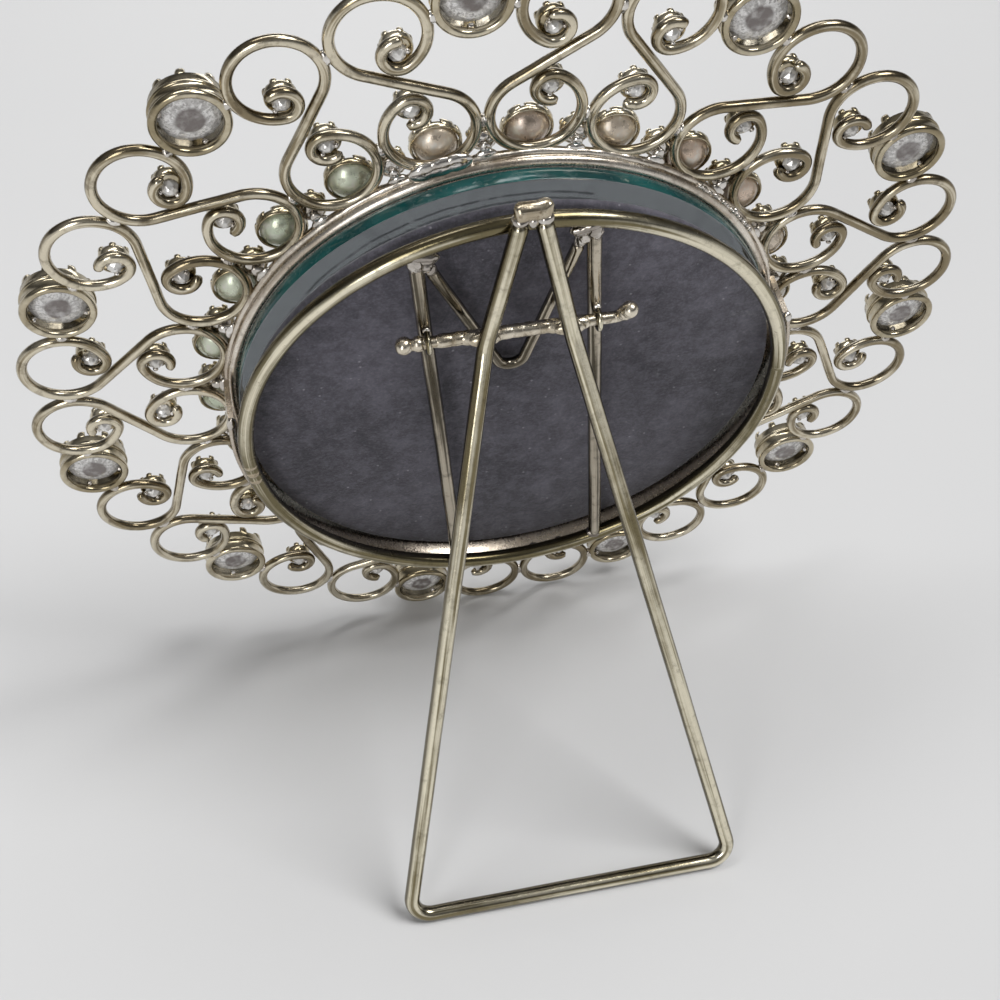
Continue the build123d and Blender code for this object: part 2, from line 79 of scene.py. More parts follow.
class Link:
    """One output socket of a node, with arithmetic that adds Math nodes."""

    def __init__(self, sheet: "NodeSheet", socket: bpy.types.NodeSocket) -> None:
        """Keep the socket and the sheet that it belongs to."""
        self.sheet = sheet
        self.socket = socket

    def of(self, name: str) -> "Link":
        """Return another output of the same node."""
        return Link(self.sheet, self.sheet.find(self.socket.node.outputs, name))

    def math(self, operation: str, *values: "Link | float") -> "Link":
        """Return a Math node's result on the given values."""
        return self.sheet.add("ShaderNodeMath", {"operation": operation}, dict(enumerate(values)))

    def __add__(self, other: "Link | float") -> "Link":
        """Add."""
        return self.math("ADD", self, other)

    def __radd__(self, other: float) -> "Link":
        """Add from the left."""
        return self.math("ADD", other, self)

    def __sub__(self, other: "Link | float") -> "Link":
        """Subtract."""
        return self.math("SUBTRACT", self, other)

    def __rsub__(self, other: float) -> "Link":
        """Subtract from a number."""
        return self.math("SUBTRACT", other, self)

    def __mul__(self, other: "Link | float") -> "Link":
        """Multiply."""
        return self.math("MULTIPLY", self, other)

    def __rmul__(self, other: float) -> "Link":
        """Multiply from the left."""
        return self.math("MULTIPLY", other, self)

    def __truediv__(self, other: "Link | float") -> "Link":
        """Divide."""
        return self.math("DIVIDE", self, other)

    def __rtruediv__(self, other: float) -> "Link":
        """Divide a number."""
        return self.math("DIVIDE", other, self)

    def __pow__(self, other: "Link | float") -> "Link":
        """Raise to a power."""
        return self.math("POWER", self, other)

    def lowest(self, other: "Link | float") -> "Link":
        """Return the lower of two values."""
        return self.math("MINIMUM", self, other)

    def highest(self, other: "Link | float") -> "Link":
        """Return the higher of two values."""
        return self.math("MAXIMUM", self, other)

    def size(self) -> "Link":
        """Return the value without its sign."""
        return self.math("ABSOLUTE", self)

    def ramp(self, low: float, high: float) -> "Link":
        """Return 0 below low, 1 above high and a smooth step between them."""
        return self.sheet.add(
            "ShaderNodeMapRange",
            {"interpolation_type": "SMOOTHSTEP"},
            {"Value": self, "From Min": low, "From Max": high, "To Min": 0.0, "To Max": 1.0},
        )


class NodeSheet:
    """A node tree that is filled one node at a time."""

    def __init__(self, tree: bpy.types.NodeTree) -> None:
        """Take the tree to fill."""
        self.tree = tree

    @staticmethod
    def find(sockets: bpy.types.bpy_prop_collection, key: str | int) -> bpy.types.NodeSocket:
        """Return a socket by its place, its identifier or its name.

        Args:
            sockets: a node's inputs or outputs.
            key: a place, an identifier or a name.

        Returns:
            The socket.
        """
        if isinstance(key, int):
            return sockets[key]
        for socket in sockets:
            if socket.identifier == key:
                return socket
        return next(s for s in sockets if s.name == key and s.enabled)

    def add(
        self,
        kind: str,
        settings: dict | None = None,
        inputs: dict | None = None,
        out: str | int = 0,
    ) -> Link | None:
        """Add one node.

        Args:
            kind: the node's type name.
            settings: its own properties, set first.
            inputs: values or links of its sockets.
            out: the output that is returned.

        Returns:
            A link from that output, or None for a node with no output.
        """
        node = self.tree.nodes.new(kind)
        for name, value in (settings or {}).items():
            setattr(node, name, value)
        for key, value in (inputs or {}).items():
            socket = self.find(node.inputs, key)
            if isinstance(value, Link):
                self.tree.links.new(value.socket, socket)
            else:
                socket.default_value = value
        return Link(self, self.find(node.outputs, out)) if len(node.outputs) else None

    def mix(self, factor: Link | float, low: Link | Colour, high: Link | Colour) -> Link:
        """Return a blend of two colours."""
        return self.add(
            "ShaderNodeMix",
            {"data_type": "RGBA"},
            {"Factor_Float": factor, "A_Color": low, "B_Color": high},
            "Result_Color",
        )

    def noise(
        self, place: Link, scale: Link | float, detail: Link | float = 2.0, **more: float
    ) -> Link:
        """Return a noise value over the given coordinates.

        Args:
            place: the coordinates.
            scale: how close its features are.
            detail: how many finer layers it has.
            more: other inputs by their names.

        Returns:
            The noise, from 0 to 1.
        """
        inputs = {"Vector": place, "Scale": scale, "Detail": detail}
        inputs.update({name.title(): value for name, value in more.items()})
        return self.add("ShaderNodeTexNoise", None, inputs, "Fac")

    def vector(self, operation: str, inputs: dict) -> Link:
        """Return a Vector Math node's result."""
        out = "Value" if operation == "DOT_PRODUCT" else "Vector"
        return self.add("ShaderNodeVectorMath", {"operation": operation}, inputs, out)

    def object_place(self) -> Link:
        """Return a piece's own coordinates, in a material."""
        return self.add("ShaderNodeTexCoord", None, None, "Object")

    def attribute(self, name: str, out: str = "Fac") -> Link:
        """Return what is stored on a mesh under a name, in a material."""
        return self.add("ShaderNodeAttribute", {"attribute_name": name}, None, out)

    def bump(self, strength: float, distance: float, height: Link) -> Link:
        """Return a surface direction that follows a height, in a material."""
        inputs = {"Strength": strength, "Distance": distance, "Height": height}
        return self.add("ShaderNodeBump", None, inputs)

    def stored(self, name: str, kind: str = "FLOAT") -> Link:
        """Return what is stored on points under a name, in a recipe."""
        settings = {"data_type": kind}
        return self.add("GeometryNodeInputNamedAttribute", settings, {"Name": name}, "Attribute")

    def store(self, geometry: Link, name: str, value: Link, kind: str = "FLOAT") -> Link:
        """Return geometry with a value stored on it under a name, in a recipe."""
        inputs = {"Geometry": geometry, "Name": name, "Value": value}
        return self.add("GeometryNodeStoreNamedAttribute", {"data_type": kind}, inputs)

    def random(self, seed: Link) -> Link:
        """Return a value from -1 to 1 for every point, in a recipe."""
        inputs = {"Min_001": -1.0, "Max_001": 1.0, "Seed": seed}
        return self.add("FunctionNodeRandomValue", {"data_type": "FLOAT"}, inputs, "Value_001")


class Recipe:
    """A Geometry Nodes tree with named inputs, run on one source object at a time."""

    def __init__(self, name: str, inputs: dict[str, str]) -> None:
        """Open the tree.

        Args:
            name: the tree's name.
            inputs: each named input with its socket type.
        """
        self.tree = bpy.data.node_groups.new(name, "GeometryNodeTree")
        face = self.tree.interface
        face.new_socket("Geometry", in_out="INPUT", socket_type="NodeSocketGeometry")
        self.ids: dict[str, str] = {}
        for label, kind in inputs.items():
            self.ids[label] = face.new_socket(label, in_out="INPUT", socket_type=kind).identifier
        face.new_socket("Geometry", in_out="OUTPUT", socket_type="NodeSocketGeometry")
        self.sheet = NodeSheet(self.tree)
        self.source = self.sheet.add("NodeGroupInput")

    def close(self, geometry: Link) -> None:
        """End the tree: realize what is left as instances, set the material and hand it out.

        Args:
            geometry: what the tree has made.
        """
        real = self.sheet.add("GeometryNodeRealizeInstances", None, {"Geometry": geometry})
        inputs = {"Geometry": real, "Material": self.source.of("Material")}
        dressed = self.sheet.add("GeometryNodeSetMaterial", None, inputs)
        self.sheet.add("NodeGroupOutput", None, {0: dressed})

    def run(self, source: bpy.types.Object, values: dict) -> bpy.types.Mesh:
        """Run the tree on a source object, which is used up.

        Args:
            source: a curve or a mesh of points, in millimetres.
            values: the tree's inputs by name.

        Returns:
            The result as a plain mesh.
        """
        modifier = source.modifiers.new(self.tree.name, "NODES")
        modifier.node_group = self.tree
        for label, value in values.items():
            modifier[self.ids[label]] = value
        bpy.context.scene.collection.objects.link(source)
        graph = bpy.context.evaluated_depsgraph_get()
        graph.update()
        mesh = bpy.data.meshes.new_from_object(source.evaluated_get(graph), depsgraph=graph)
        source.modifiers.remove(modifier)
        bpy.data.objects.remove(source)
        return mesh


FLOAT = "NodeSocketFloat"
WHOLE = "NodeSocketInt"
MATERIAL = "NodeSocketMaterial"
OBJECT = "NodeSocketObject"
VECTOR = "NodeSocketVector"


class WireRecipe(Recipe):
    """Round drawn wire along a path, a little uneven, with rounded ends."""

    def __init__(self) -> None:
        """Build the tree."""
        sizes = ("Radius", "Wobble", "Wobble Length", "Swell", "Swell Length", "Step", "Round Ends")
        inputs = {label: FLOAT for label in sizes}
        inputs.update({"Seed": FLOAT, "Sides": WHOLE, "Crest": VECTOR, "Material": MATERIAL})
        super().__init__("round_wire", inputs)
        sheet = self.sheet
        read = self.source.of
        radius = read("Radius")
        path = sheet.add(
            "GeometryNodeResampleCurve",
            {"mode": "LENGTH"},
            {"Curve": self.source, "Length": read("Step")},
        )
        place = sheet.add("GeometryNodeInputPosition")
        inputs = {"Vector": place, "W": read("Seed"), "Scale": 1.0 / read("Wobble Length")}
        inputs["Detail"] = 1.0
        drift = sheet.add("ShaderNodeTexNoise", {"noise_dimensions": "4D"}, inputs, "Color")
        centred = sheet.vector("SUBTRACT", {0: drift, 1: (0.5, 0.5, 0.5)})
        offset = sheet.vector("SCALE", {0: centred, "Scale": 2.0 * read("Wobble")})
        moved = sheet.add("GeometryNodeSetPosition", None, {"Geometry": path, "Offset": offset})
        inputs = {"Vector": place, "W": read("Seed") + 7.0, "Scale": 1.0 / read("Swell Length")}
        inputs["Detail"] = 2.0
        lumps = sheet.add("ShaderNodeTexNoise", {"noise_dimensions": "4D"}, inputs, "Fac")
        swelling = 1.0 + 2.0 * (lumps - 0.5) * read("Swell")
        along = sheet.add("GeometryNodeSplineParameter", None, None, "Length")
        total = sheet.add("GeometryNodeSplineLength", None, None, "Length")
        from_end = along.lowest(total - along).highest(0.0) / radius
        dip = (1.0 - from_end.lowest(1.0)) ** 2.0
        dome = (1.0 - dip).highest(0.03) ** 0.5
        taper = 1.0 - read("Round Ends") * (1.0 - dome)
        profile = sheet.add(
            "GeometryNodeCurvePrimitiveCircle",
            {"mode": "RADIUS"},
            {"Resolution": read("Sides"), "Radius": 1.0},
        )
        marked = sheet.store(moved, "along", along + 9.0 * read("Seed"))
        rim = sheet.store(profile, "rim", place, "FLOAT_VECTOR")
        inputs = {"Curve": marked, "Profile Curve": rim, "Scale": radius * swelling * taper}
        inputs["Fill Caps"] = True
        tube = sheet.add("GeometryNodeCurveToMesh", None, inputs)
        normal = sheet.add("GeometryNodeInputNormal")
        # store how far each face turns from the crest, for the painted shade on the wire's flanks
        facing = sheet.vector("DOT_PRODUCT", {0: normal, 1: read("Crest")})
        sided = sheet.store(tube, "flank", 1.0 - facing.size())
        self.close(sheet.add("GeometryNodeSetShadeSmooth", None, {"Geometry": sided}))


class SettingRecipe(Recipe):
    """One small piece set on every point, turned by the point's own angle."""

    def __init__(self) -> None:
        """Build the tree."""
        inputs = {"Piece": OBJECT, "Size Spread": FLOAT, "Turn Spread": FLOAT, "Seed": WHOLE}
        inputs["Material"] = MATERIAL
        super().__init__("set_on_points", inputs)
        sheet = self.sheet
        read = self.source.of
        piece = sheet.add(
            "GeometryNodeObjectInfo",
            {"transform_space": "ORIGINAL"},
            {"Object": read("Piece"), "As Instance": False},
            "Geometry",
        )
        swing = sheet.random(read("Seed"))
        grow = sheet.random(read("Seed") + 11.0)
        turn = sheet.stored("turn") + swing * read("Turn Spread")
        angle = sheet.add("ShaderNodeCombineXYZ", None, {"Z": turn})
        size = 1.0 + grow * read("Size Spread")
        sizes = sheet.add("ShaderNodeCombineXYZ", None, {"X": size, "Y": size, "Z": 1.0})
        inputs = {"Points": self.source, "Instance": piece, "Rotation": angle, "Scale": sizes}
        self.close(sheet.add("GeometryNodeInstanceOnPoints", None, inputs))


class SolderRecipe(Recipe):
    """Lumps of solder on points, each with its own size, crumpled by noise."""

    def __init__(self) -> None:
        """Build the tree."""
        inputs = {"Crumple": FLOAT, "Crumple Length": FLOAT, "Detail": FLOAT, "Facets": WHOLE}
        inputs["Material"] = MATERIAL
        super().__init__("solder_lumps", inputs)
        sheet = self.sheet
        read = self.source.of
        ball = sheet.add(
            "GeometryNodeMeshIcoSphere", None, {"Radius": 1.0, "Subdivisions": read("Facets")}
        )
        size = sheet.stored("size", "FLOAT_VECTOR")
        angle = sheet.add("ShaderNodeCombineXYZ", None, {"Z": sheet.stored("turn")})
        inputs = {"Points": self.source, "Instance": ball, "Rotation": angle, "Scale": size}
        balls = sheet.add("GeometryNodeInstanceOnPoints", None, inputs)
        real = sheet.add("GeometryNodeRealizeInstances", None, {"Geometry": balls})
        place = sheet.add("GeometryNodeInputPosition")
        bumps = sheet.noise(place, 1.0 / read("Crumple Length"), read("Detail"))
        normal = sheet.add("GeometryNodeInputNormal")
        push = sheet.vector("SCALE", {0: normal, "Scale": 2.0 * (bumps - 0.5) * read("Crumple")})
        lumpy = sheet.add("GeometryNodeSetPosition", None, {"Geometry": real, "Offset": push})
        self.close(sheet.add("GeometryNodeSetShadeSmooth", None, {"Geometry": lumpy}))


def new_material(name: str) -> tuple[bpy.types.Material, NodeSheet]:
    """Return an empty node material and its sheet.

    Args:
        name: the material's name.

    Returns:
        The material and the sheet to fill.
    """
    material = bpy.data.materials.new(name)
    material.use_nodes = True
    material.node_tree.nodes.clear()
    return material, NodeSheet(material.node_tree)


def close_material(sheet: NodeSheet, inputs: dict) -> None:
    """End a material in one Principled shader with the given sockets."""
    shader = sheet.add("ShaderNodeBsdfPrincipled", None, inputs)
    sheet.add("ShaderNodeOutputMaterial", None, {"Surface": shader})


@dataclass(frozen=True)
class MetalFinish:
    """Polished plated wire with tarnish in patches and small pits, painted reflection streaks along it
    and painted shade on its flanks.
    """

    name: str
    pale: Colour
    deep: Colour
    tarnish_and_shade: Colour
    smooth: float
    dull: float
    tarnish_share: float = 0.5
    patch_scale: float = 160.0
    pit_scale: float = 1400.0
    pit_depth: float = 0.00003
    # the line fields set the painted reflection streaks that run along the wire
    line_scale: float = 1.35
    line_stretch: float = 0.04
    line_share: float = 0.65
    line_span: float = 0.16
    broad_scale: float = 35.0
    broad_share: float = 0.35
    # how strongly the wire's flanks get painted shade, and over which turn from the crest
    shade_flank_share: float = 0.5
    shade_flank_low: float = 0.25
    shade_flank_high: float = 0.80
    line_low: float = 0.42
    metallic: float = 1.0

    def material(self) -> bpy.types.Material:
        """Return the finish as a node material.

        Returns:
            The new material.
        """
        material, sheet = new_material(self.name)
        place = sheet.object_place()
        patches = sheet.noise(place, self.patch_scale, 4.0, roughness=0.6)
        clouds = sheet.noise(place, self.patch_scale * 3.1, 3.0, roughness=0.65)
        pits = sheet.noise(place, self.pit_scale, 3.0, roughness=0.7)
        # painted reflection: noise on the place round each wire, stretched along it, gives light and
        # dark streaks in the tone; the same streaks also roughen and bump the surface
        rim = sheet.attribute("rim", "Vector")
        length = sheet.attribute("along") * self.line_stretch
        drawn = sheet.add("ShaderNodeCombineXYZ", None, {"Z": length})
        track = sheet.vector("ADD", {0: rim, 1: drawn})
        lines = sheet.noise(track, self.line_scale, 3.0, roughness=0.55)
        broad = sheet.noise(place, self.broad_scale, 2.0)
        blend = (1.0 - self.line_share) * patches + self.line_share * lines
        blend = blend + self.broad_share * (broad - 0.5)
        tone = blend.ramp(self.line_low, self.line_low + self.line_span)
        tone = sheet.mix(tone, self.deep, self.pale)
        stained = clouds.ramp(0.52, 0.74) * self.tarnish_share
        spots = pits.ramp(0.60, 0.74) * (0.6 * self.tarnish_share)
        colour = sheet.mix(stained.highest(spots), tone, self.tarnish_and_shade)
        # painted shade: the flanks of each wire, turned away from its crest, are darkened toward the
        # tarnish-and-shade colour
        flank = sheet.attribute("flank") + 0.5 * (lines - 0.5)
        sides = flank.ramp(self.shade_flank_low, self.shade_flank_high) * self.shade_flank_share
        colour = sheet.mix(sides, colour, self.tarnish_and_shade)
        span = self.dull - self.smooth
        worn = 0.4 * clouds.ramp(0.35, 0.75) + 0.35 * pits.ramp(0.45, 0.75)
        rough = self.smooth + span * (worn + 0.25 * lines.ramp(0.4, 0.7))
        bump = sheet.bump(0.35, self.pit_depth, pits + 0.8 * clouds + 0.5 * lines)
        inputs = {
            "Base Color": colour,
            "Metallic": self.metallic,
            "Roughness": rough,
            "Normal": bump,
        }
        close_material(sheet, inputs)
        return material


@dataclass(frozen=True)
class ClearStoneFinish:
    """Clear faceted glass drawn opaque: its back has painted shade at the middle and is whitish with
    crumbs round it, the foil with painted sparkle; its front facets are light or dark as painted
    reflections.
    """

    name: str
    # middle is painted shade, bright the foil with painted sparkle, depth the dark tone of the painted
    # facet reflections
    middle: Colour = (0.15, 0.125, 0.115, 1.0)
    bright: Colour = (0.92, 0.91, 0.90, 1.0)
    crumbs: Colour = (0.40, 0.385, 0.375, 1.0)
    depth: Colour = (0.36, 0.36, 0.365, 1.0)

    def material(self) -> bpy.types.Material:
        """Return the finish as a node material.

        Returns:
            The new material.
        """
        material, sheet = new_material(self.name)
        place = sheet.object_place()
        share = sheet.attribute("share")
        cloud = sheet.noise(place, 650.0, 4.0, roughness=0.7)
        fine = sheet.noise(place, 2600.0, 3.0, roughness=0.7)
        # painted shade: the back is dark at the middle, where the clear stone would look dark through
        # its depth
        ring = (share + 0.30 * (cloud - 0.5)).ramp(0.36, 0.50)
        facet = sheet.attribute("facet")
        front = sheet.attribute("front")
        white = sheet.mix(fine.ramp(0.42, 0.66), self.bright, self.crumbs)
        # painted reflections: the random facet tones darken some of the whitish back
        white = sheet.mix((1.0 - facet).ramp(0.45, 0.95) * 0.6, white, self.crumbs)
        back = sheet.mix(ring, self.middle, white)
        # painted reflections: each front facet is light or dark by its random tone
        cut = sheet.mix((facet + 0.3 * (cloud - 0.5)).ramp(0.15, 0.85), self.depth, self.bright)
        colour = sheet.mix(front, back, cut)
        rough = 0.05 + (1.0 - front) * (0.10 + 0.25 * cloud.ramp(0.45, 0.75))
        grain = (1.0 - front) * (fine + cloud)
        bump = sheet.bump(0.6, 0.00010, grain)
        inputs = {
            "Base Color": colour,
            "Roughness": rough,
            "IOR": 1.58,
            "Coat Weight": 0.7,
            "Coat Roughness": 0.03,
            "Normal": bump,
        }
        close_material(sheet, inputs)
        return material


@dataclass(frozen=True)
class ColouredStoneFinish:
    """Foiled glass whose colour is stored on the stone, with painted foil highlights and painted shade
    in random patches.
    """

    name: str
    foil_and_highlight: Colour = (0.76, 0.74, 0.68, 1.0)
    shade: Colour = (0.24, 0.20, 0.15, 1.0)

    def material(self) -> bpy.types.Material:
        """Return the finish as a node material.

        Returns:
            The new material.
        """
        material, sheet = new_material(self.name)
        place = sheet.object_place()
        tint = sheet.attribute("tint", "Color")
        patch = sheet.noise(place, 500.0, 4.0, roughness=0.65)
        fine = sheet.noise(place, 2200.0, 2.0)
        # painted highlight and painted shade: random patches turn to bright silver foil or to dark
        # shade
        colour = sheet.mix(patch.ramp(0.50, 0.68) * 0.8, tint, self.foil_and_highlight)
        colour = sheet.mix((1.0 - patch).ramp(0.53, 0.70) * 0.7, colour, self.shade)
        rough = 0.20 + 0.25 * patch.ramp(0.3, 0.7)
        bump = sheet.bump(0.4, 0.00006, fine + patch)
        inputs = {
            "Base Color": colour,
            "Metallic": 0.6,
            "Roughness": rough,
            "Coat Weight": 0.6,
            "Coat Roughness": 0.12,
            "Normal": bump,
        }
        close_material(sheet, inputs)
        return material


@dataclass(frozen=True)
class PaneFinish:
    """Window glass tinted dark grey as painted shade, with a little dust and one dark broken line near
    its edge.
    """

    name: str
    # clear is a dark grey tint: painted shade where the glass would show what lies beyond it
    clear: Colour = (0.19, 0.205, 0.215, 1.0)
    dust: Colour = (0.13, 0.14, 0.15, 1.0)
    dark_line_tone: Colour = (0.012, 0.012, 0.014, 1.0)
    line_span: float = 38.3

    def material(self) -> bpy.types.Material:
        """Return the finish as a node material.

        Returns:
            The new material.
        """
        material, sheet = new_material(self.name)
        place = sheet.object_place()
        span = sheet.attribute("span")
        smear = sheet.noise(place, 60.0, 4.0, roughness=0.7, distortion=1.5)
        stray = sheet.noise(place, 120.0, 4.0, roughness=0.7)
        colour = sheet.mix(smear.ramp(0.45, 0.75), self.clear, self.dust)
        # a dark broken line at a set span from the middle, broken up by noise
        apart = (span + 0.9 * (stray - 0.5) - self.line_span).size()
        line = (1.0 - apart.ramp(0.08, 0.34)) * smear.ramp(0.42, 0.50)
        colour = sheet.mix(line * 0.85, colour, self.dark_line_tone)
        rough = 0.01 + 0.05 * smear.ramp(0.5, 0.8)
        inputs = {"Base Color": colour, "Roughness": rough, "IOR": 1.5, "Transmission Weight": 1.0}
        close_material(sheet, inputs)
        return material


@dataclass(frozen=True)
class PaneEdgeFinish:
    """Cut edge of the pane, where the glass shows its green-blue depth."""

    name: str
    deep: Colour = (0.003, 0.040, 0.042, 1.0)
    bright: Colour = (0.009, 0.095, 0.093, 1.0)

    def material(self) -> bpy.types.Material:
        """Return the finish as a node material.

        Returns:
            The new material.
        """
        material, sheet = new_material(self.name)
        place = sheet.object_place()
        depth = sheet.noise(place, 90.0, 3.0, roughness=0.6)
        chips = sheet.noise(place, 900.0, 2.0)
        colour = sheet.mix(depth.ramp(0.3, 0.7), self.deep, self.bright)
        rough = 0.12 + 0.25 * chips.ramp(0.4, 0.8)
        bump = sheet.bump(0.25, 0.00005, chips)
        inputs = {"Base Color": colour, "Roughness": rough, "Normal": bump, "Coat Weight": 0.15}
        close_material(sheet, inputs)
        return material


@dataclass(frozen=True)
class FlockFinish:
    """Black flock with a purple cast, rubbed patches, lint and pale scuffs."""

    name: str
    nap: Colour = (0.030, 0.028, 0.037, 1.0)
    rubbed: Colour = (0.165, 0.157, 0.195, 1.0)
    lint: Colour = (0.38, 0.37, 0.41, 1.0)
    scuff: Colour = (0.17, 0.17, 0.19, 1.0)

    def material(self) -> bpy.types.Material:
        """Return the finish as a node material.

        Returns:
            The new material.
        """
        material, sheet = new_material(self.name)
        place = sheet.object_place()
        cloud = sheet.noise(place, 38.0, 5.0, roughness=0.62)
        mottle = sheet.noise(place, 320.0, 4.0, roughness=0.7)
        fibre = sheet.noise(place, 1700.0, 4.0, roughness=0.8)
        worn = 0.34 * cloud.ramp(0.35, 0.68) + 0.33 * mottle.ramp(0.38, 0.68)
        worn = worn + 0.33 * fibre.ramp(0.42, 0.70)
        colour = sheet.mix(worn, self.nap, self.rubbed)
        scratch = sheet.noise(place, 55.0, 2.0, roughness=0.5, distortion=3.0)
        marks = scratch.ramp(0.70, 0.76) * fibre.ramp(0.4, 0.6) * 0.7
        colour = sheet.mix(marks, colour, self.scuff)
        inputs = {"Vector": place, "Scale": 640.0}
        cells = sheet.add("ShaderNodeTexVoronoi", None, inputs, "Distance")
        chosen = sheet.noise(place, 260.0, 1.0).ramp(0.52, 0.60)
        specks = (1.0 - cells.ramp(0.05, 0.17)) * chosen
        colour = sheet.mix(specks * 0.6, colour, self.lint)
        rough = 0.88 + 0.1 * fibre
        bump = sheet.bump(0.7, 0.0002, fibre + 0.6 * mottle + 0.5 * cloud)
        inputs = {
            "Base Color": colour,
            "Roughness": rough,
            "Normal": bump,
            "Sheen Weight": 0.25,
            "Sheen Roughness": 0.5,
        }
        close_material(sheet, inputs)
        return material


@dataclass(frozen=True)
class FloorFinish:
    """Plain pale matt floor."""

    name: str = "pale_floor"
    pale: Colour = (0.66, 0.66, 0.66, 1.0)
    shade: Colour = (0.63, 0.63, 0.635, 1.0)

    def material(self) -> bpy.types.Material:
        """Return the finish as a node material.

        Returns:
            The new material.
        """
        material, sheet = new_material(self.name)
        place = sheet.object_place()
        colour = sheet.mix(sheet.noise(place, 6.0, 3.0), self.pale, self.shade)
        close_material(sheet, {"Base Color": colour, "Roughness": 0.75})
        return material


class Finish(Enum):
    """Every finish of the frame."""

    SCROLL = MetalFinish(
        "scroll_plating",
        pale=(0.76, 0.69, 0.54, 1.0),
        deep=(0.28, 0.23, 0.145, 1.0),
        tarnish_and_shade=(0.10, 0.075, 0.045, 1.0),
        smooth=0.13,
        dull=0.34,
    )
    CUP = MetalFinish(
        "cup_plating",
        pale=(0.72, 0.65, 0.50, 1.0),
        deep=(0.34, 0.285, 0.18, 1.0),
        tarnish_and_shade=(0.13, 0.10, 0.06, 1.0),
        smooth=0.12,
        dull=0.32,
    )
    RING = MetalFinish(
        "ring_plating",
        pale=(0.84, 0.78, 0.69, 1.0),
        deep=(0.50, 0.43, 0.35, 1.0),
        tarnish_and_shade=(0.20, 0.155, 0.115, 1.0),
        smooth=0.20,
        dull=0.44,
        shade_flank_share=0.25,
    )
    STRIP = MetalFinish(
        "strip_plating",
        pale=(0.66, 0.59, 0.50, 1.0),
        deep=(0.50, 0.43, 0.35, 1.0),
        tarnish_and_shade=(0.24, 0.19, 0.14, 1.0),
        smooth=0.22,
        dull=0.42,
        tarnish_share=0.3,
        pit_depth=0.00002,
    )
    BACK_WIRE = MetalFinish(
        "back_wire_plating",
        pale=(0.86, 0.80, 0.63, 1.0),
        deep=(0.20, 0.17, 0.095, 1.0),
        tarnish_and_shade=(0.08, 0.065, 0.035, 1.0),
        smooth=0.16,
        dull=0.34,
        tarnish_share=0.4,
        line_stretch=0.012,
        line_share=0.88,
        shade_flank_share=0.82,
        line_low=0.45,
    )
    # the leg's finish paints strong shade on its flanks and leaves a bright crest line
    LEG_WIRE = MetalFinish(
        "leg_wire_plating",
        pale=(0.86, 0.80, 0.63, 1.0),
        deep=(0.22, 0.185, 0.105, 1.0),
        tarnish_and_shade=(0.075, 0.06, 0.035, 1.0),
        smooth=0.15,
        dull=0.32,
        tarnish_share=0.4,
        line_stretch=0.012,
        line_share=0.85,
        shade_flank_share=0.85,
        shade_flank_low=0.16,
        shade_flank_high=0.58,
    )
    # a darker copy of the back wire for the struts and the spring: partly their own darker tone, partly
    # painted shade
    DARK_SHADED_WIRE = MetalFinish(
        "dark_wire_plating",
        pale=(0.56, 0.50, 0.40, 1.0),
        deep=(0.10, 0.085, 0.06, 1.0),
        tarnish_and_shade=(0.05, 0.045, 0.035, 1.0),
        smooth=0.12,
        dull=0.30,
        tarnish_share=0.5,
        line_stretch=0.012,
        line_share=0.85,
    )
    DROSS = MetalFinish(
        "dark_solder",
        pale=(0.66, 0.62, 0.57, 1.0),
        deep=(0.24, 0.21, 0.18, 1.0),
        tarnish_and_shade=(0.08, 0.07, 0.055, 1.0),
        smooth=0.08,
        dull=0.26,
        tarnish_share=0.6,
        patch_scale=260.0,
        pit_depth=0.00004,
    )
    BRAZE = MetalFinish(
        "braze",
        pale=(0.82, 0.75, 0.62, 1.0),
        deep=(0.46, 0.39, 0.28, 1.0),
        tarnish_and_shade=(0.16, 0.12, 0.07, 1.0),
        smooth=0.18,
        dull=0.42,
        tarnish_share=0.7,
        patch_scale=300.0,
        pit_depth=0.00008,
    )
    SOLDER = MetalFinish(
        "solder",
        pale=(0.92, 0.89, 0.85, 1.0),
        deep=(0.50, 0.46, 0.41, 1.0),
        tarnish_and_shade=(0.16, 0.135, 0.11, 1.0),
        smooth=0.10,
        dull=0.34,
        tarnish_share=0.6,
        patch_scale=300.0,
        pit_depth=0.00005,
    )
    GLINT = MetalFinish(
        "glint_foil",
        pale=(0.93, 0.92, 0.90, 1.0),
        deep=(0.70, 0.68, 0.65, 1.0),
        tarnish_and_shade=(0.10, 0.095, 0.09, 1.0),
        smooth=0.08,
        dull=0.26,
        tarnish_share=0.8,
        patch_scale=500.0,
        pit_depth=0.00010,
        metallic=0.45,
    )
    CLEAR_STONE = ClearStoneFinish("clear_stone_glass")
    COLOURED_STONE = ColouredStoneFinish("coloured_stone_glass")
    PANE = PaneFinish("pane_glass")
    PANE_EDGE = PaneEdgeFinish("pane_cut_edge")
    FLOCK = FlockFinish("black_flock")
    FLOOR = FloorFinish()


class StoneTint(Enum):
    """Colours of the stones round the opening."""

    GREEN = (0.66, 0.71, 0.56, 1.0)
    SAGE = (0.54, 0.60, 0.46, 1.0)
    BEIGE = (0.72, 0.62, 0.50, 1.0)
    BROWN = (0.62, 0.51, 0.42, 1.0)
    PEACH = (0.74, 0.59, 0.47, 1.0)
    SILVER = (0.64, 0.61, 0.56, 1.0)


class Body(Enum):
    """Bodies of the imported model."""

    FRAME = "frame"
    LEG = "leg"
    BOARD = "board"
    PANE = "pane"


class Slot(Enum):
    """Material slots of the record."""

    SCROLL = "scroll_wire"
    CUP = "cup_metal"
    RING = "ring_metal"
    BACK = "back_wire"
    CLEAR = "clear_stone"
    COLOURED = "coloured_stone"
    PANE = "pane"
    FLOCK = "flock"


@dataclass(frozen=True)
class Lump:
    """One lump of solder: where it is, how large it is each way and how it is turned."""

    at: Point
    size: Point
    turn: float = 0.0


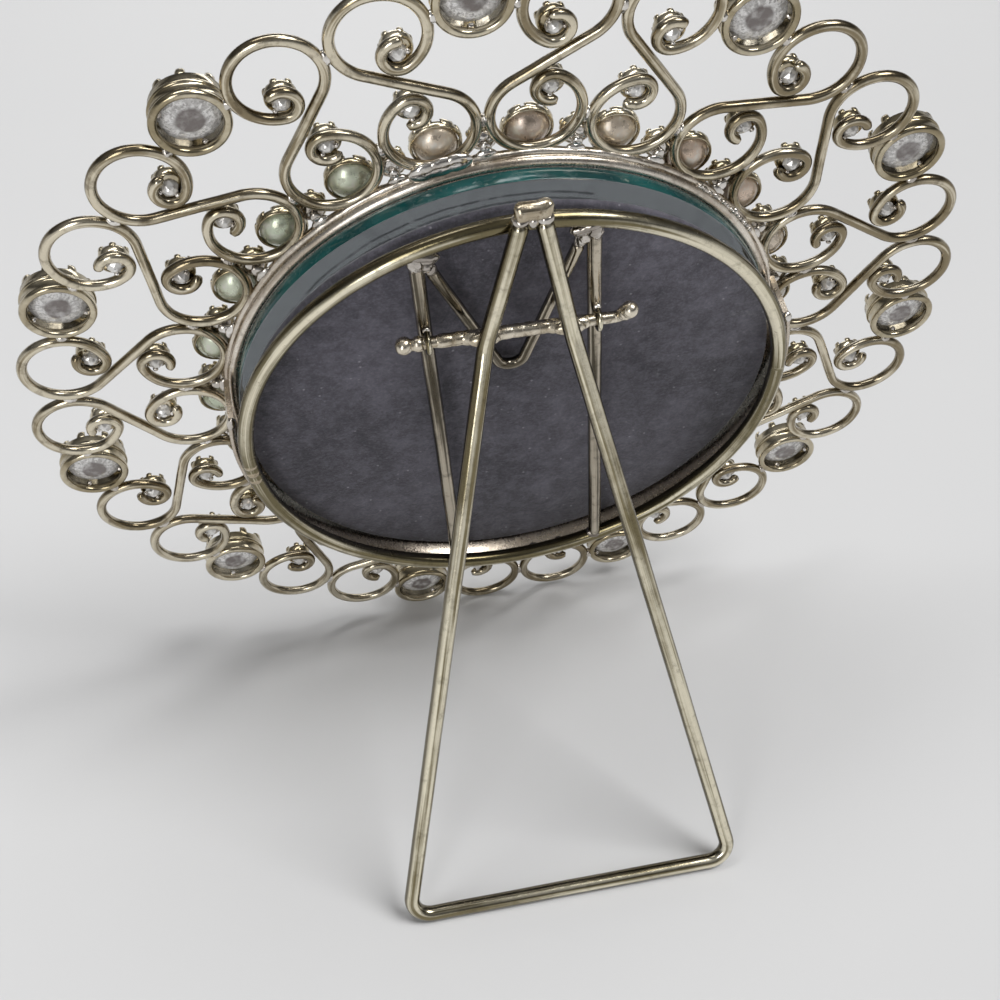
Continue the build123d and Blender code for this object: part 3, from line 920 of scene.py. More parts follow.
@dataclass
class Stance:
    """How the frame stands: the lean of the ring and the turn of its pattern."""

    lean: float = 11.642226
    centre_y: float = 15.323682
    centre_z: float = 72.199599
    ring_turn: float = 4.5

    def back(self) -> Matrix:
        """Return the matrix from millimetres on the back to metres in the world.

        Returns:
            The matrix for everything drawn on the back.
        """
        sine = math.sin(math.radians(self.lean))
        cosine = math.cos(math.radians(self.lean))
        turn = Matrix(((-1, 0, 0, 0), (0, sine, cosine, 0), (0, cosine, -sine, 0), (0, 0, 0, 1)))
        shift = Matrix.Translation((0, self.centre_y, self.centre_z))
        return Matrix.Scale(MM, 4) @ shift @ turn

    def ring(self) -> Matrix:
        """Return the matrix of the turned ring pattern."""
        return self.back() @ Matrix.Rotation(math.radians(self.ring_turn), 4, "Z")


@dataclass
class Workshop:
    """What every sub-assembly works with: recipes, finishes and the way the frame stands."""

    stance: Stance
    wire: WireRecipe = field(default_factory=WireRecipe)
    setting: SettingRecipe = field(default_factory=SettingRecipe)
    solder: SolderRecipe = field(default_factory=SolderRecipe)
    finishes: dict[Finish, bpy.types.Material] = field(default_factory=dict)

    def finish(self, finish: Finish) -> bpy.types.Material:
        """Return a finish's material, made once."""
        if finish not in self.finishes:
            self.finishes[finish] = finish.value.material()
        return self.finishes[finish]

    def wire_mesh(
        self,
        path: Sequence[Point],
        radius: float,
        finish: Finish,
        seed: float,
        closed: bool = False,
        wobble: float = 0.10,
        swell: float = 0.035,
        step: float = 0.45,
        sides: int = 16,
        crest: Point = (0.0, 0.0, 1.0),
    ) -> bpy.types.Mesh:
        """Return round wire along a path.

        Args:
            path: points in millimetres.
            radius: the wire's radius.
            finish: its finish.
            seed: fixes its small unevenness.
            closed: whether the path meets itself.
            wobble: how far the line strays.
            swell: how much the thickness varies.
            step: distance between its rings.
            sides: points round it.
            crest: the way out of the flat piece that it was bent in; the flanks turned away from it get
                painted shade.

        Returns:
            The wire's mesh, in millimetres.
        """
        curve = bpy.data.curves.new("path", "CURVE")
        curve.dimensions = "3D"
        line = curve.splines.new("POLY")
        line.points.add(len(path) - 1)
        for spot, place in zip(line.points, path):
            spot.co = (*place, 1.0)
        line.use_cyclic_u = closed
        values = {
            "Radius": radius,
            "Wobble": wobble,
            "Wobble Length": WOBBLE_LENGTH,
            "Swell": swell,
            "Swell Length": SWELL_LENGTH,
            "Step": step,
            "Round Ends": 0.0 if closed else 1.0,
            "Seed": seed,
            "Sides": sides,
            "Crest": crest,
            "Material": self.finish(finish),
        }
        return self.wire.run(bpy.data.objects.new("path", curve), values)

    @staticmethod
    def points_object(places: Sequence[Point], turns: Sequence[float]) -> bpy.types.Object:
        """Return an object of loose points, each with its turn in radians.

        Args:
            places: the points, in millimetres.
            turns: the turn at each of them.

        Returns:
            An object that is in no collection yet.
        """
        mesh = bpy.data.meshes.new("points")
        mesh.from_pydata(places, [], [])
        store_values(mesh, "turn", "POINT", list(turns))
        return bpy.data.objects.new("points", mesh)

    def set_mesh(
        self,
        piece: bpy.types.Mesh,
        places: Sequence[Point],
        turns: Sequence[float],
        finish: Finish,
        seed: int,
        size_spread: float = 0.0,
        turn_spread: float = 0.0,
        tints: Sequence[Colour] = (),
    ) -> bpy.types.Mesh:
        """Return one mesh of a small piece set on many points.

        Args:
            piece: the small piece at its own origin.
            places: where it goes.
            turns: its turn at each place, in radians.
            finish: the finish of all of them.
            seed: fixes the spread.
            size_spread: how much the sizes differ.
            turn_spread: how much the turns differ, in radians.
            tints: a colour for each, if they have their own.

        Returns:
            The joined mesh, in millimetres.
        """
        template = bpy.data.objects.new("template", piece)
        bpy.context.scene.collection.objects.link(template)
        source = self.points_object(places, turns)
        if tints:
            layer = source.data.attributes.new("tint", "FLOAT_COLOR", "POINT")
            layer.data.foreach_set("color", [value for tint in tints for value in tint])
        values = {
            "Piece": template,
            "Size Spread": size_spread,
            "Turn Spread": turn_spread,
            "Seed": seed,
            "Material": self.finish(finish),
        }
        mesh = self.setting.run(source, values)
        bpy.data.objects.remove(template)
        return mesh

    def claw_mesh(
        self, claw: bpy.types.Mesh, count: int, seed: int, spread: float
    ) -> bpy.types.Mesh:
        """Return the claws of one cup.

        Args:
            claw: one claw, drawn on the cup's side.
            count: how many the cup has.
            seed: fixes the spread.
            spread: how much their places round the cup differ, in radians.

        Returns:
            The claws as one mesh, in millimetres.
        """
        turns = [2 * math.pi * step / count for step in range(count)]
        places = [(0.0, 0.0, 0.0)] * count
        return self.set_mesh(claw, places, turns, Finish.CUP, seed, turn_spread=spread)

    def lump_mesh(
        self,
        lumps: Sequence[Lump],
        finish: Finish,
        crumple: float = 0.22,
        length: float = 0.9,
        detail: float = 2.0,
        facets: int = 4,
    ) -> bpy.types.Mesh:
        """Return solder lumps as one mesh.

        Args:
            lumps: the lumps.
            finish: their finish.
            crumple: how far their skin is pushed about.
            length: the size of the crumples.
            detail: the fineness of the crumples.
            facets: how finely each lump is divided.

        Returns:
            The mesh, in millimetres.
        """
        source = self.points_object([lump.at for lump in lumps], [lump.turn for lump in lumps])
        layer = source.data.attributes.new("size", "FLOAT_VECTOR", "POINT")
        layer.data.foreach_set("vector", [value for lump in lumps for value in lump.size])
        values = {
            "Crumple": crumple,
            "Crumple Length": length,
            "Detail": detail,
            "Facets": facets,
            "Material": self.finish(finish),
        }
        return self.solder.run(source, values)

    def hand_in(
        self,
        name: str,
        meshes: Sequence[bpy.types.Mesh],
        matrix: Matrix,
        body: Body,
        slot: Slot,
        node: str,
    ) -> None:
        """Join meshes into one finished piece that stands for a CAD node.

        Args:
            name: the piece's name.
            meshes: its meshes, in millimetres.
            matrix: from their frame to the world.
            body: the body that it rides on.
            slot: the record's material slot; not used.
            node: the CAD node that it stands for.
        """
        mesh = meshes[0] if len(meshes) == 1 else joined(name, meshes)
        mesh.transform(matrix)
        mesh.name = name
        piece = bpy.data.objects.new(name, mesh)
        bpy.context.scene.collection.objects.link(piece)
        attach(piece, body.value)
        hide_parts(node)
        LOG.info("%s: %d faces", name, len(mesh.polygons))


def finished(book: bmesh.types.BMesh, name: str) -> bpy.types.Mesh:
    """Return what was drawn as a mesh, and let the drawing go.

    Args:
        book: the drawing, which is used up.
        name: the mesh's name.

    Returns:
        The new mesh.
    """
    mesh = bpy.data.meshes.new(name)
    book.to_mesh(mesh)
    book.free()
    return mesh


def store_values(mesh: bpy.types.Mesh, name: str, domain: str, values: Sequence[float]) -> None:
    """Store one value for each point or face of a mesh under a name."""
    mesh.attributes.new(name, "FLOAT", domain).data.foreach_set("value", values)


def skin(book: bmesh.types.BMesh, rings: Sequence[Sequence[bmesh.types.BMVert]]) -> None:
    """Lay smooth faces between rings of corners that follow each other.

    Args:
        book: the drawing that the corners are in.
        rings: rings with the same count of corners.
    """
    for low, high in zip(rings, rings[1:]):
        for step in range(len(low)):
            after = (step + 1) % len(low)
            corners = list(dict.fromkeys((low[step], low[after], high[after], high[step])))
            if len(corners) > 2:
                book.faces.new(corners).smooth = True


def joined(name: str, meshes: Iterable[bpy.types.Mesh]) -> bpy.types.Mesh:
    """Return several meshes as one, each with its own material.

    Args:
        name: the new mesh's name.
        meshes: the meshes, which stay as they are.

    Returns:
        The new mesh, with each material once.
    """
    book = bmesh.new()
    materials: list[bpy.types.Material] = []
    for mesh in meshes:
        before = len(book.faces)
        book.from_mesh(mesh)
        book.faces.ensure_lookup_table()
        numbers = []
        for material in mesh.materials:
            if material not in materials:
                materials.append(material)
            numbers.append(materials.index(material))
        for face in book.faces[before:]:
            face.material_index = numbers[face.material_index]
    whole = finished(book, name)
    for material in materials:
        whole.materials.append(material)
    return whole


def arc(centre: tuple[float, float], radius: float, start: float, sweep: float) -> list[Point]:
    """Return points on an arc in the plane z = 0, angles in degrees.

    Args:
        centre: its middle.
        radius: its radius.
        start: where it starts.
        sweep: how far it turns, anticlockwise if positive.

    Returns:
        Points close to PATH_STEP apart.
    """
    count = max(6, int(abs(math.radians(sweep)) * radius / PATH_STEP))
    points = []
    for step in range(count + 1):
        angle = math.radians(start + sweep * step / count)
        x = centre[0] + radius * math.cos(angle)
        points.append((x, centre[1] + radius * math.sin(angle), 0.0))
    return points


def circle(radius: float, z: float) -> list[Point]:
    """Return points on a whole circle round the middle, at one height."""
    return [(x, y, z) for x, y, _ in arc((0, 0), radius, 0.0, 360.0)[:-1]]


def rounded_path(corners: Sequence[Point], radii: Sequence[float]) -> list[Point]:
    """Return a path through corners, each inner corner bent to its radius.

    Args:
        corners: the sharp corners, ends included.
        radii: the bend's radius at each inner corner.

    Returns:
        Points of straights and bends.
    """
    points = [Vector(corners[0])]
    for before, corner, after, radius in zip(corners, corners[1:], corners[2:], radii):
        middle = Vector(corner)
        arrive = (middle - Vector(before)).normalized()
        leave = (Vector(after) - middle).normalized()
        bend = arrive.angle(leave)
        cut = radius * math.tan(bend / 2)
        start = middle - arrive * cut
        side = (leave - arrive * leave.dot(arrive)).normalized()
        hub = start + side * radius
        count = max(5, int(radius * bend / PATH_STEP))
        for step in range(count + 1):
            angle = bend * step / count
            points.append(hub + radius * (arrive * math.sin(angle) - side * math.cos(angle)))
    points.append(Vector(corners[-1]))
    return [tuple(point) for point in points]


def lathe(name: str, profile: Sequence[tuple[float, float]], segments: int) -> bpy.types.Mesh:
    """Return a closed profile of radius and height turned about the z axis.

    Args:
        name: the mesh's name.
        profile: radius and height of each corner.
        segments: steps round the axis.

    Returns:
        The closed mesh.
    """
    book = bmesh.new()
    rings = []
    for radius, height in profile:
        if radius < ON_AXIS:
            rings.append([book.verts.new((0, 0, height))] * segments)
            continue
        ring = []
        for step in range(segments):
            angle = 2 * math.pi * step / segments
            ring.append(book.verts.new((radius * math.cos(angle), radius * math.sin(angle), height)))
        rings.append(ring)
    skin(book, rings + rings[:1])
    bmesh.ops.recalc_face_normals(book, faces=book.faces)
    return finished(book, name)


def bead(
    centre: tuple[float, float], radius: float, start: float, sweep: float
) -> list[tuple[float, float]]:
    """Return a rounded stretch of a lathe profile, angles in degrees.

    Args:
        centre: radius and height of its middle.
        radius: its radius.
        start: where it starts.
        sweep: how far it turns.

    Returns:
        Corners of the profile.
    """
    points = []
    for step in range(BEAD_STEPS + 1):
        angle = math.radians(start + sweep * step / BEAD_STEPS)
        points.append((centre[0] + radius * math.cos(angle), centre[1] + radius * math.sin(angle)))
    return points


def prong(
    path: Sequence[tuple[float, float]], widths: Sequence[float], thicks: Sequence[float]
) -> bpy.types.Mesh:
    """Return one claw that follows a path of radius and height, rounded all round.

    Args:
        path: radius and height of each section's middle.
        widths: each section's width.
        thicks: each section's thickness.

    Returns:
        The claw's mesh, at angle 0.
    """
    book = bmesh.new()
    rings = []
    for (radius, height), width, thick in zip(path, widths, thicks):
        ring = []
        for step in range(PRONG_SIDES):
            angle = 2 * math.pi * step / PRONG_SIDES
            across = width / 2 * math.sin(angle)
            ring.append(book.verts.new((radius + thick / 2 * math.cos(angle), across, height)))
        rings.append(ring)
    skin(book, rings)
    book.faces.new(rings[0])
    book.faces.new(rings[-1])
    bmesh.ops.recalc_face_normals(book, faces=book.faces)
    return finished(book, "prong")


def cut_stone(name: str, tiers: Sequence[tuple[float, float, float]], sides: int) -> bpy.types.Mesh:
    """Return a faceted stone.

    Args:
        name: the mesh's name.
        tiers: radius, height and turn in steps of each ring of corners, from back to front.
        sides: corners of each ring.

    Returns:
        The convex stone, with flat facets.
    """
    book = bmesh.new()
    for radius, height, turn in tiers:
        for step in range(sides):
            angle = 2 * math.pi * (step + turn) / sides
            book.verts.new((radius * math.cos(angle), radius * math.sin(angle), height))
    bmesh.ops.convex_hull(book, input=book.verts)
    flat = math.radians(1.0)
    bmesh.ops.dissolve_limit(book, angle_limit=flat, verts=book.verts, edges=book.edges)
    bmesh.ops.recalc_face_normals(book, faces=book.faces)
    mesh = finished(book, name)
    widest = max(radius for radius, _, _ in tiers)
    shares = [math.hypot(vertex.co.x, vertex.co.y) / widest for vertex in mesh.vertices]
    store_values(mesh, "share", "POINT", shares)
    # a random tone for each facet, which the clear stones' finish uses as painted facet reflections
    tones = [0.5 + 0.5 * noise.cell(face.center * FACET_CELLS) for face in mesh.polygons]
    store_values(mesh, "facet", "FACE", tones)
    fronts = [1.0 if face.normal.z < FACES_FRONT else 0.0 for face in mesh.polygons]
    store_values(mesh, "front", "FACE", fronts)
    return mesh


@dataclass
class RingPlan:
    """Sizes and places shared by everything on the ring."""

    stones: int = 11
    stone_circle: float = 68.5
    scroll_radius: float = 0.8
    scroll_z: float = -0.6
    outer_loop: float = 6.15
    curl: float = 2.15
    curl_direction: float = 75.0
    curl_turn: float = 235.0
    cup_radius: float = 5.35
    front_ring: float = 42.3
    front_ring_z: float = 0.7
    front_ring_radius: float = 1.05
    film: float = 0.05

    def __post_init__(self) -> None:
        """Work out the loops, the waist and the curls."""
        self.pitch = 360.0 / self.stones
        half = math.radians(self.pitch / 2)
        cup_t = self.stone_circle * math.sin(half)
        cup_r = self.stone_circle * math.cos(half)
        self.outer_t = self.outer_loop + self.scroll_radius + self.film / 2
        reach = self.outer_loop + self.scroll_radius + self.film + self.cup_radius
        self.outer_r = cup_r + math.sqrt(reach**2 - (cup_t - self.outer_t) ** 2)
        touch = self.scroll_radius + self.front_ring_radius + self.film
        low = self.front_ring + math.sqrt(touch**2 - (self.front_ring_z - self.scroll_z) ** 2)
        sine = math.sin(half / 2)
        keep_off = self.scroll_radius + self.film / 2
        spread = (low - keep_off) / (1 - sine)
        self.inner_loop = spread * sine - keep_off
        self.inner_t = spread * sine
        self.inner_r = spread * math.cos(half / 2)
        line = math.atan2(self.inner_r - self.outer_r, self.outer_t - self.inner_t)
        length = math.hypot(self.inner_r - self.outer_r, self.outer_t - self.inner_t)
        turn = math.acos((self.outer_loop + self.inner_loop) / length)
        self.waist = math.degrees(line + turn)
        lead = math.radians(self.curl_direction)
        self.outer_curl = (
            -self.outer_t - (self.outer_loop - self.curl) * math.cos(lead),
            self.outer_r - (self.outer_loop - self.curl) * math.sin(lead),
        )
        self.inner_curl = (
            -self.inner_t + (self.inner_loop - self.curl) * math.cos(lead),
            self.inner_r + (self.inner_loop - self.curl) * math.sin(lead),
        )
        self.seat_z = self.scroll_z - self.scroll_radius - self.film

    def angle(self, steps: float) -> float:
        """Return the turn in radians of a spoke, in pitches clockwise from the top."""
        return -math.radians(self.pitch * steps)

    def at(self, steps: float, t: float, r: float, z: float) -> Point:
        """Return a point given along and across a spoke.

        Args:
            steps: the spoke, in pitches clockwise from the top.
            t: across the spoke.
            r: along the spoke, from the middle.
            z: out of the back.

        Returns:
            The point in the ring's frame.
        """
        turn = self.angle(steps)
        cosine = math.cos(turn)
        sine = math.sin(turn)
        return (t * cosine - r * sine, t * sine + r * cosine, z)


@dataclass
class ScrollRing:
    """The ring of paired scrolls with the solder between them."""

    shop: Workshop
    plan: RingPlan
    spill_rise: float = 0.1636

    def path(self, steps: float, side: int) -> list[Point]:
        """Return the line of one scroll.

        Args:
            steps: the spoke of its junction.
            side: -1 on the left of the junction, 1 on the right.

        Returns:
            Points in the ring's frame.
        """
        plan = self.plan
        end = plan.curl_direction + 180.0
        sweep = end - plan.waist
        points = arc(plan.outer_curl, plan.curl, end + plan.curl_turn, -plan.curl_turn)
        points += arc((-plan.outer_t, plan.outer_r), plan.outer_loop, end, -sweep)[1:]
        points += arc((-plan.inner_t, plan.inner_r), plan.inner_loop, plan.waist + 180.0, sweep)
        points += arc(plan.inner_curl, plan.curl, plan.curl_direction, plan.curl_turn)[1:]
        return [plan.at(steps, -side * t, r, plan.scroll_z) for t, r, _ in points]

    def lumps(self, steps: float, side: int) -> list[Lump]:
        """Return the solder that one scroll carries.

        Args:
            steps: the spoke of its junction.
            side: -1 on the left, 1 on the right.

        Returns:
            The lumps, in the ring's frame.
        """
        plan = self.plan
        z = plan.scroll_z
        if side < 0:
            turn = plan.angle(steps)
            outer = Lump(plan.at(steps, 0, plan.outer_r + 0.2, z), (0.7, 1.2, 0.75), turn)
            return [outer, Lump(plan.at(steps, 0, plan.inner_r, z), (0.6, 1.3, 0.7), turn)]
        beside = steps + 0.5
        turn = plan.angle(beside)
        inner = Lump(plan.at(beside, 0, plan.inner_r, z), (0.6, 1.1, 0.7), turn)
        spill = plan.at(beside, 0.2, plan.inner_r + 0.5, z + self.spill_rise)
        return [inner, Lump(spill, (0.4, 0.7, 0.6), turn)]

    def build(self) -> None:
        """Make every scroll."""
        matrix = self.shop.stance.ring()
        for number in range(self.plan.stones):
            for side in (-1, 1):
                order = 2 * number + (1 if side < 0 else 2)
                steps = number + 0.5
                radius = self.plan.scroll_radius
                path = self.path(steps, side)
                wire = self.shop.wire_mesh(path, radius, Finish.SCROLL, seed=3.7 * order)
                lumps = self.lumps(steps, side)
                solder = self.shop.lump_mesh(lumps, Finish.SOLDER, crumple=0.16, length=0.7)
                name = f"wire_scroll_{order:02d}"
                node = f"scroll_{order:02d}"
                self.shop.hand_in(name, [wire, solder], matrix, Body.FRAME, Slot.SCROLL, node)


@dataclass
class StoneCups:
    """The large open-backed cups between the scroll pairs, with their clear stones."""

    shop: Workshop
    plan: RingPlan
    tube: float = 5.1
    bore: float = 4.15
    wall: float = 0.6
    rim: float = 0.6
    depth: float = 4.2
    claw_length: float = 1.4
    claws: int = 8
    stone: float = 4.4
    stone_back: float = -1.0
    stone_sides: int = 16
    crumb_circle: float = 4.1

    def cup(self) -> bpy.types.Mesh:
        """Return one cup with its claws, its back rim at z = 0.

        Returns:
            The mesh that every cup is set from.
        """
        inside = self.tube - self.wall
        profile = [(inside, -self.depth), (inside, -1.35), (self.bore + 0.08, -1.2)]
        profile += bead((self.tube + 0.25 - self.rim, -self.rim), self.rim, 200.0, -215.0)
        profile += [(self.tube - 0.02, -1.25), (self.tube - 0.05, -2.0)]
        profile += bead((self.tube - 0.1, -2.6), 0.32, 70.0, -140.0)
        profile += [(self.tube - 0.05, -3.2), (self.tube, -self.depth + 0.1)]
        profile.append((self.tube - 0.08, -self.depth))
        body = lathe("stone_cup", profile, segments=56)
        top = self.depth + self.claw_length
        path = [(4.82, -3.7), (4.84, -4.3), (4.8, -4.8), (4.62, -5.25), (4.3, -top + 0.1), (4.1, -top)]
        claw = prong(path, (1.5, 1.45, 1.3, 1.15, 0.9, 0.45), (0.5, 0.55, 0.6, 0.6, 0.5, 0.25))
        claws = self.shop.claw_mesh(claw, self.claws, seed=5, spread=0.05)
        body.materials.append(self.shop.finish(Finish.CUP))
        return joined("stone_cup", [body, claws])

    def lumps(self, number: int) -> list[Lump]:
        """Return the solder of one cup, where the loops on both sides touch it and inside its rim.

        Args:
            number: the cup, clockwise from the top.

        Returns:
            The lumps, in the ring's frame.
        """
        plan = self.plan
        found = []
        centre = Vector(plan.at(0, 0, plan.stone_circle, 0))
        for side in (-1, 1):
            loop = Vector(plan.at(0.5 * side, -side * plan.outer_t, plan.outer_r, 0))
            away = (loop - centre).normalized()
            spot = centre + away * (plan.cup_radius + 0.15)
            r = math.hypot(spot.x, spot.y)
            steps = -math.degrees(math.atan2(-spot.x, spot.y)) / plan.pitch
            at = plan.at(number + steps, 0, r, plan.scroll_z - 0.1)
            found.append(Lump(at, (0.75, 0.95, 0.8), plan.angle(number + steps)))
        for step in range(3):
            angle = 2.1 * number + 2.3 * step
            t = self.crumb_circle * math.cos(angle)
            r = plan.stone_circle + self.crumb_circle * math.sin(angle)
            found.append(Lump(plan.at(number, t, r, -1.25), (0.45, 0.5, 0.35), angle))
        return found

    def build(self) -> None:
        """Make the cups and their stones."""
        matrix = self.shop.stance.ring()
        template = self.cup()
        places = []
        turns = []
        for number in range(self.plan.stones):
            place = self.plan.at(number, 0, self.plan.stone_circle, 0)
            cup = self.shop.set_mesh(
                template, [place], [0.7 * number], Finish.CUP, seed=20 + number, size_spread=0.01
            )
            lumps = self.lumps(number)
            solder = self.shop.lump_mesh(lumps, Finish.SOLDER, crumple=0.18, length=0.6)
            node = f"stone_cup_{number + 1:02d}"
            name = f"claw_cup_{number + 1:02d}"
            self.shop.hand_in(name, [cup, solder], matrix, Body.FRAME, Slot.CUP, node)
            places.append(place)
            turns.append(1.3 * number)
        back = self.stone_back
        tiers = (
            (1.7, back, 0.5),
            (3.1, back - 0.4, 0.0),
            (4.05, back - 0.95, 0.5),
            (self.stone, back - 1.8, 0.0),
            (self.stone, back - 3.1, 0.0),
            (3.5, back - 3.7, 0.5),
            (2.55, back - 4.2, 0.0),
        )
        stone = cut_stone("large_stone", tiers, self.stone_sides)
        stones = self.shop.set_mesh(stone, places, turns, Finish.CLEAR_STONE, seed=9)
        self.shop.hand_in(
            "clear_stones_large", [stones], matrix, Body.FRAME, Slot.CLEAR, "large_stones"
        )


@dataclass
class SmallSettings:
    """The small claw cups on the curls and in the gaps, and the ring of coloured stones."""

    shop: Workshop
    plan: RingPlan
    small: float = 2.2
    small_claws: int = 6
    gap_circle: float = 45.3
    ring_circle: float = 44.6
    ring_cup: float = 3.7
    ring_claws: int = 8
    ring_stone: float = 3.22
    tints: tuple[StoneTint, ...] = (
        StoneTint.BROWN,
        StoneTint.BEIGE,
        StoneTint.PEACH,
        StoneTint.PEACH,
        StoneTint.BEIGE,
        StoneTint.SILVER,
        StoneTint.GREEN,
        StoneTint.SAGE,
        StoneTint.BEIGE,
        StoneTint.GREEN,
        StoneTint.PEACH,
        StoneTint.SILVER,
        StoneTint.GREEN,
        StoneTint.BEIGE,
        StoneTint.SAGE,
        StoneTint.GREEN,
        StoneTint.SAGE,
        StoneTint.GREEN,
        StoneTint.GREEN,
        StoneTint.SAGE,
        StoneTint.GREEN,
        StoneTint.BEIGE,
    )

    def small_cup(self) -> bpy.types.Mesh:
        """Return one small cup with its claws, its back at z = 0.

        Returns:
            The mesh that every small cup is set from.
        """
        r = self.small
        profile = [(0.0, -0.02), (r - 0.45, 0.0), (r - 0.18, -0.12), (r - 0.05, -0.4), (r - 0.02, -1.0)]
        profile += [(r - 0.06, -1.4), (r - 0.2, -1.5), (r - 0.4, -1.4), (r - 0.42, -0.7), (0.0, -0.65)]
        body = lathe("small_cup", profile, segments=24)
        body.materials.append(self.shop.finish(Finish.CUP))
        path = [(r - 0.25, -1.0), (r - 0.2, -1.5), (r - 0.24, -1.85)]
        path += [(r - 0.42, -2.1), (r - 0.62, -2.2)]
        claw = prong(path, (0.95, 1.0, 0.95, 0.75, 0.35), (0.4, 0.5, 0.55, 0.45, 0.2))
        claws = self.shop.claw_mesh(claw, self.small_claws, seed=3, spread=0.08)
        return joined("small_cup", [body, claws])

    def glint(self) -> bpy.types.Mesh:
        """Return the faceted foiled back of one small stone, which shows in its curl."""
        tiers = ((0.42, 1.3, 0.0), (1.0, 0.9, 0.5), (1.28, 0.35, 0.0), (1.28, -0.3, 0.5))
        return cut_stone("glint", tiers, sides=6)

    def crumbs(self, places: Sequence[Point]) -> list[Lump]:
        """Return two crumbs of solder beside each curl's stone.

        Args:
            places: where the curls' cups are.

        Returns:
            The lumps, in the ring's frame.
        """
        found = []
        for order, (x, y, z) in enumerate(places):
            for step in range(2):
                angle = 2.4 * order + 2.1 * step
                at = (x + 1.3 * math.cos(angle), y + 1.3 * math.sin(angle), z + 0.75)
                found.append(Lump(at, (0.34, 0.42, 0.34), angle))
        return found

    def ring_cup_mesh(self) -> bpy.types.Mesh:
        """Return one low cup of the coloured stones with its petals, the stone's back at z = 0.

        Returns:
            The mesh that every ring cup is set from.
        """
        r = self.ring_cup
        profile = [(r - 0.45, -2.4), (r - 0.45, -1.62), (r - 0.38, -1.5), (r - 0.24, -1.46)]
        profile += [(r - 0.09, -1.58), (r, -1.9), (r - 0.01, -2.3), (r - 0.1, -2.45)]
        body = lathe("ring_cup", profile, segments=40)
        body.materials.append(self.shop.finish(Finish.CUP))
        path = [(r - 0.2, -1.75), (r - 0.14, -2.3), (r - 0.2, -2.8), (r - 0.46, -3.2), (r - 0.85, -3.4)]
        petal = prong(path, (1.5, 2.1, 2.1, 1.6, 0.7), (0.34, 0.42, 0.46, 0.4, 0.2))
        petals = self.shop.claw_mesh(petal, self.ring_claws, seed=4, spread=0.06)
        return joined("ring_cup", [body, petals])

    def curl_spots(self) -> tuple[list[Point], list[float]]:
        """Return the places and turns of the cups on the curls.

        Returns:
            A place and a turn for each curl.
        """
        places = []
        turns = []
        for number in range(self.plan.stones):
            steps = number + 0.5
            for side in (-1, 1):
                for t, r in (self.plan.outer_curl, self.plan.inner_curl):
                    places.append(self.plan.at(steps, -side * t, r, self.plan.seat_z))
                    turns.append(self.plan.angle(steps))
        return places, turns

    def gap_spots(self) -> tuple[list[Point], list[float]]:
        """Return the places and turns of the cups between the inner loops.

        Returns:
            A place and a turn for each gap.
        """
        steps = [number / 2 for number in range(2 * self.plan.stones)]
        places = [self.plan.at(step, 0, self.gap_circle, self.plan.seat_z) for step in steps]
        return places, [self.plan.angle(step) for step in steps]

    def ring_spots(self) -> tuple[list[Point], list[float]]:
        """Return the places and turns of the coloured stones.

        Returns:
            A place and a turn for each coloured stone.
        """
        steps = [number / 2 + 0.25 for number in range(2 * self.plan.stones)]
        places = [self.plan.at(step, 0, self.ring_circle, self.plan.seat_z) for step in steps]
        return places, [self.plan.angle(step) for step in steps]

    def build_small(self) -> None:
        """Make the small cups and stones on the curls and in the gaps."""
        matrix = self.shop.stance.ring()
        cup = self.small_cup()
        r = self.small - 0.45
        tiers = ((r * 0.96, -0.66, 0.0), (r, -0.9, 0.0), (r, -1.4, 0.0), (r * 0.58, -2.0, 0.5))
        stone = cut_stone("small_stone", tiers, sides=8)
        for label, spots in (("curl", self.curl_spots()), ("gap", self.gap_spots())):
            places, turns = spots
            cups = [
                self.shop.set_mesh(
                    cup, places, turns, Finish.CUP, seed=31, size_spread=0.02, turn_spread=0.5
                )
            ]
            if label == "curl":
                glints = self.shop.set_mesh(
                    self.glint(),
                    places,
                    turns,
                    Finish.GLINT,
                    seed=35,
                    size_spread=0.03,
                    turn_spread=3.1,
                )
                crumbs = self.shop.lump_mesh(
                    self.crumbs(places), Finish.SOLDER, crumple=0.12, length=0.4, detail=3.0, facets=2
                )
                cups += [glints, crumbs]
            else:
                size = (1.7, 1.5, 0.6)
                webs = [Lump((x, y, z + 0.1), size, turn) for (x, y, z), turn in zip(places, turns)]
                cups.append(self.shop.lump_mesh(webs, Finish.SOLDER, crumple=0.26, length=1.1))
            self.shop.hand_in(
                f"{label}_claw_cups", cups, matrix, Body.FRAME, Slot.CUP, f"{label}_cups"
            )
            stones = self.shop.set_mesh(
                stone, places, turns, Finish.CLEAR_STONE, seed=32, turn_spread=0.5
            )
            self.shop.hand_in(
                f"{label}_clear_stones", [stones], matrix, Body.FRAME, Slot.CLEAR, f"{label}_stones"
            )

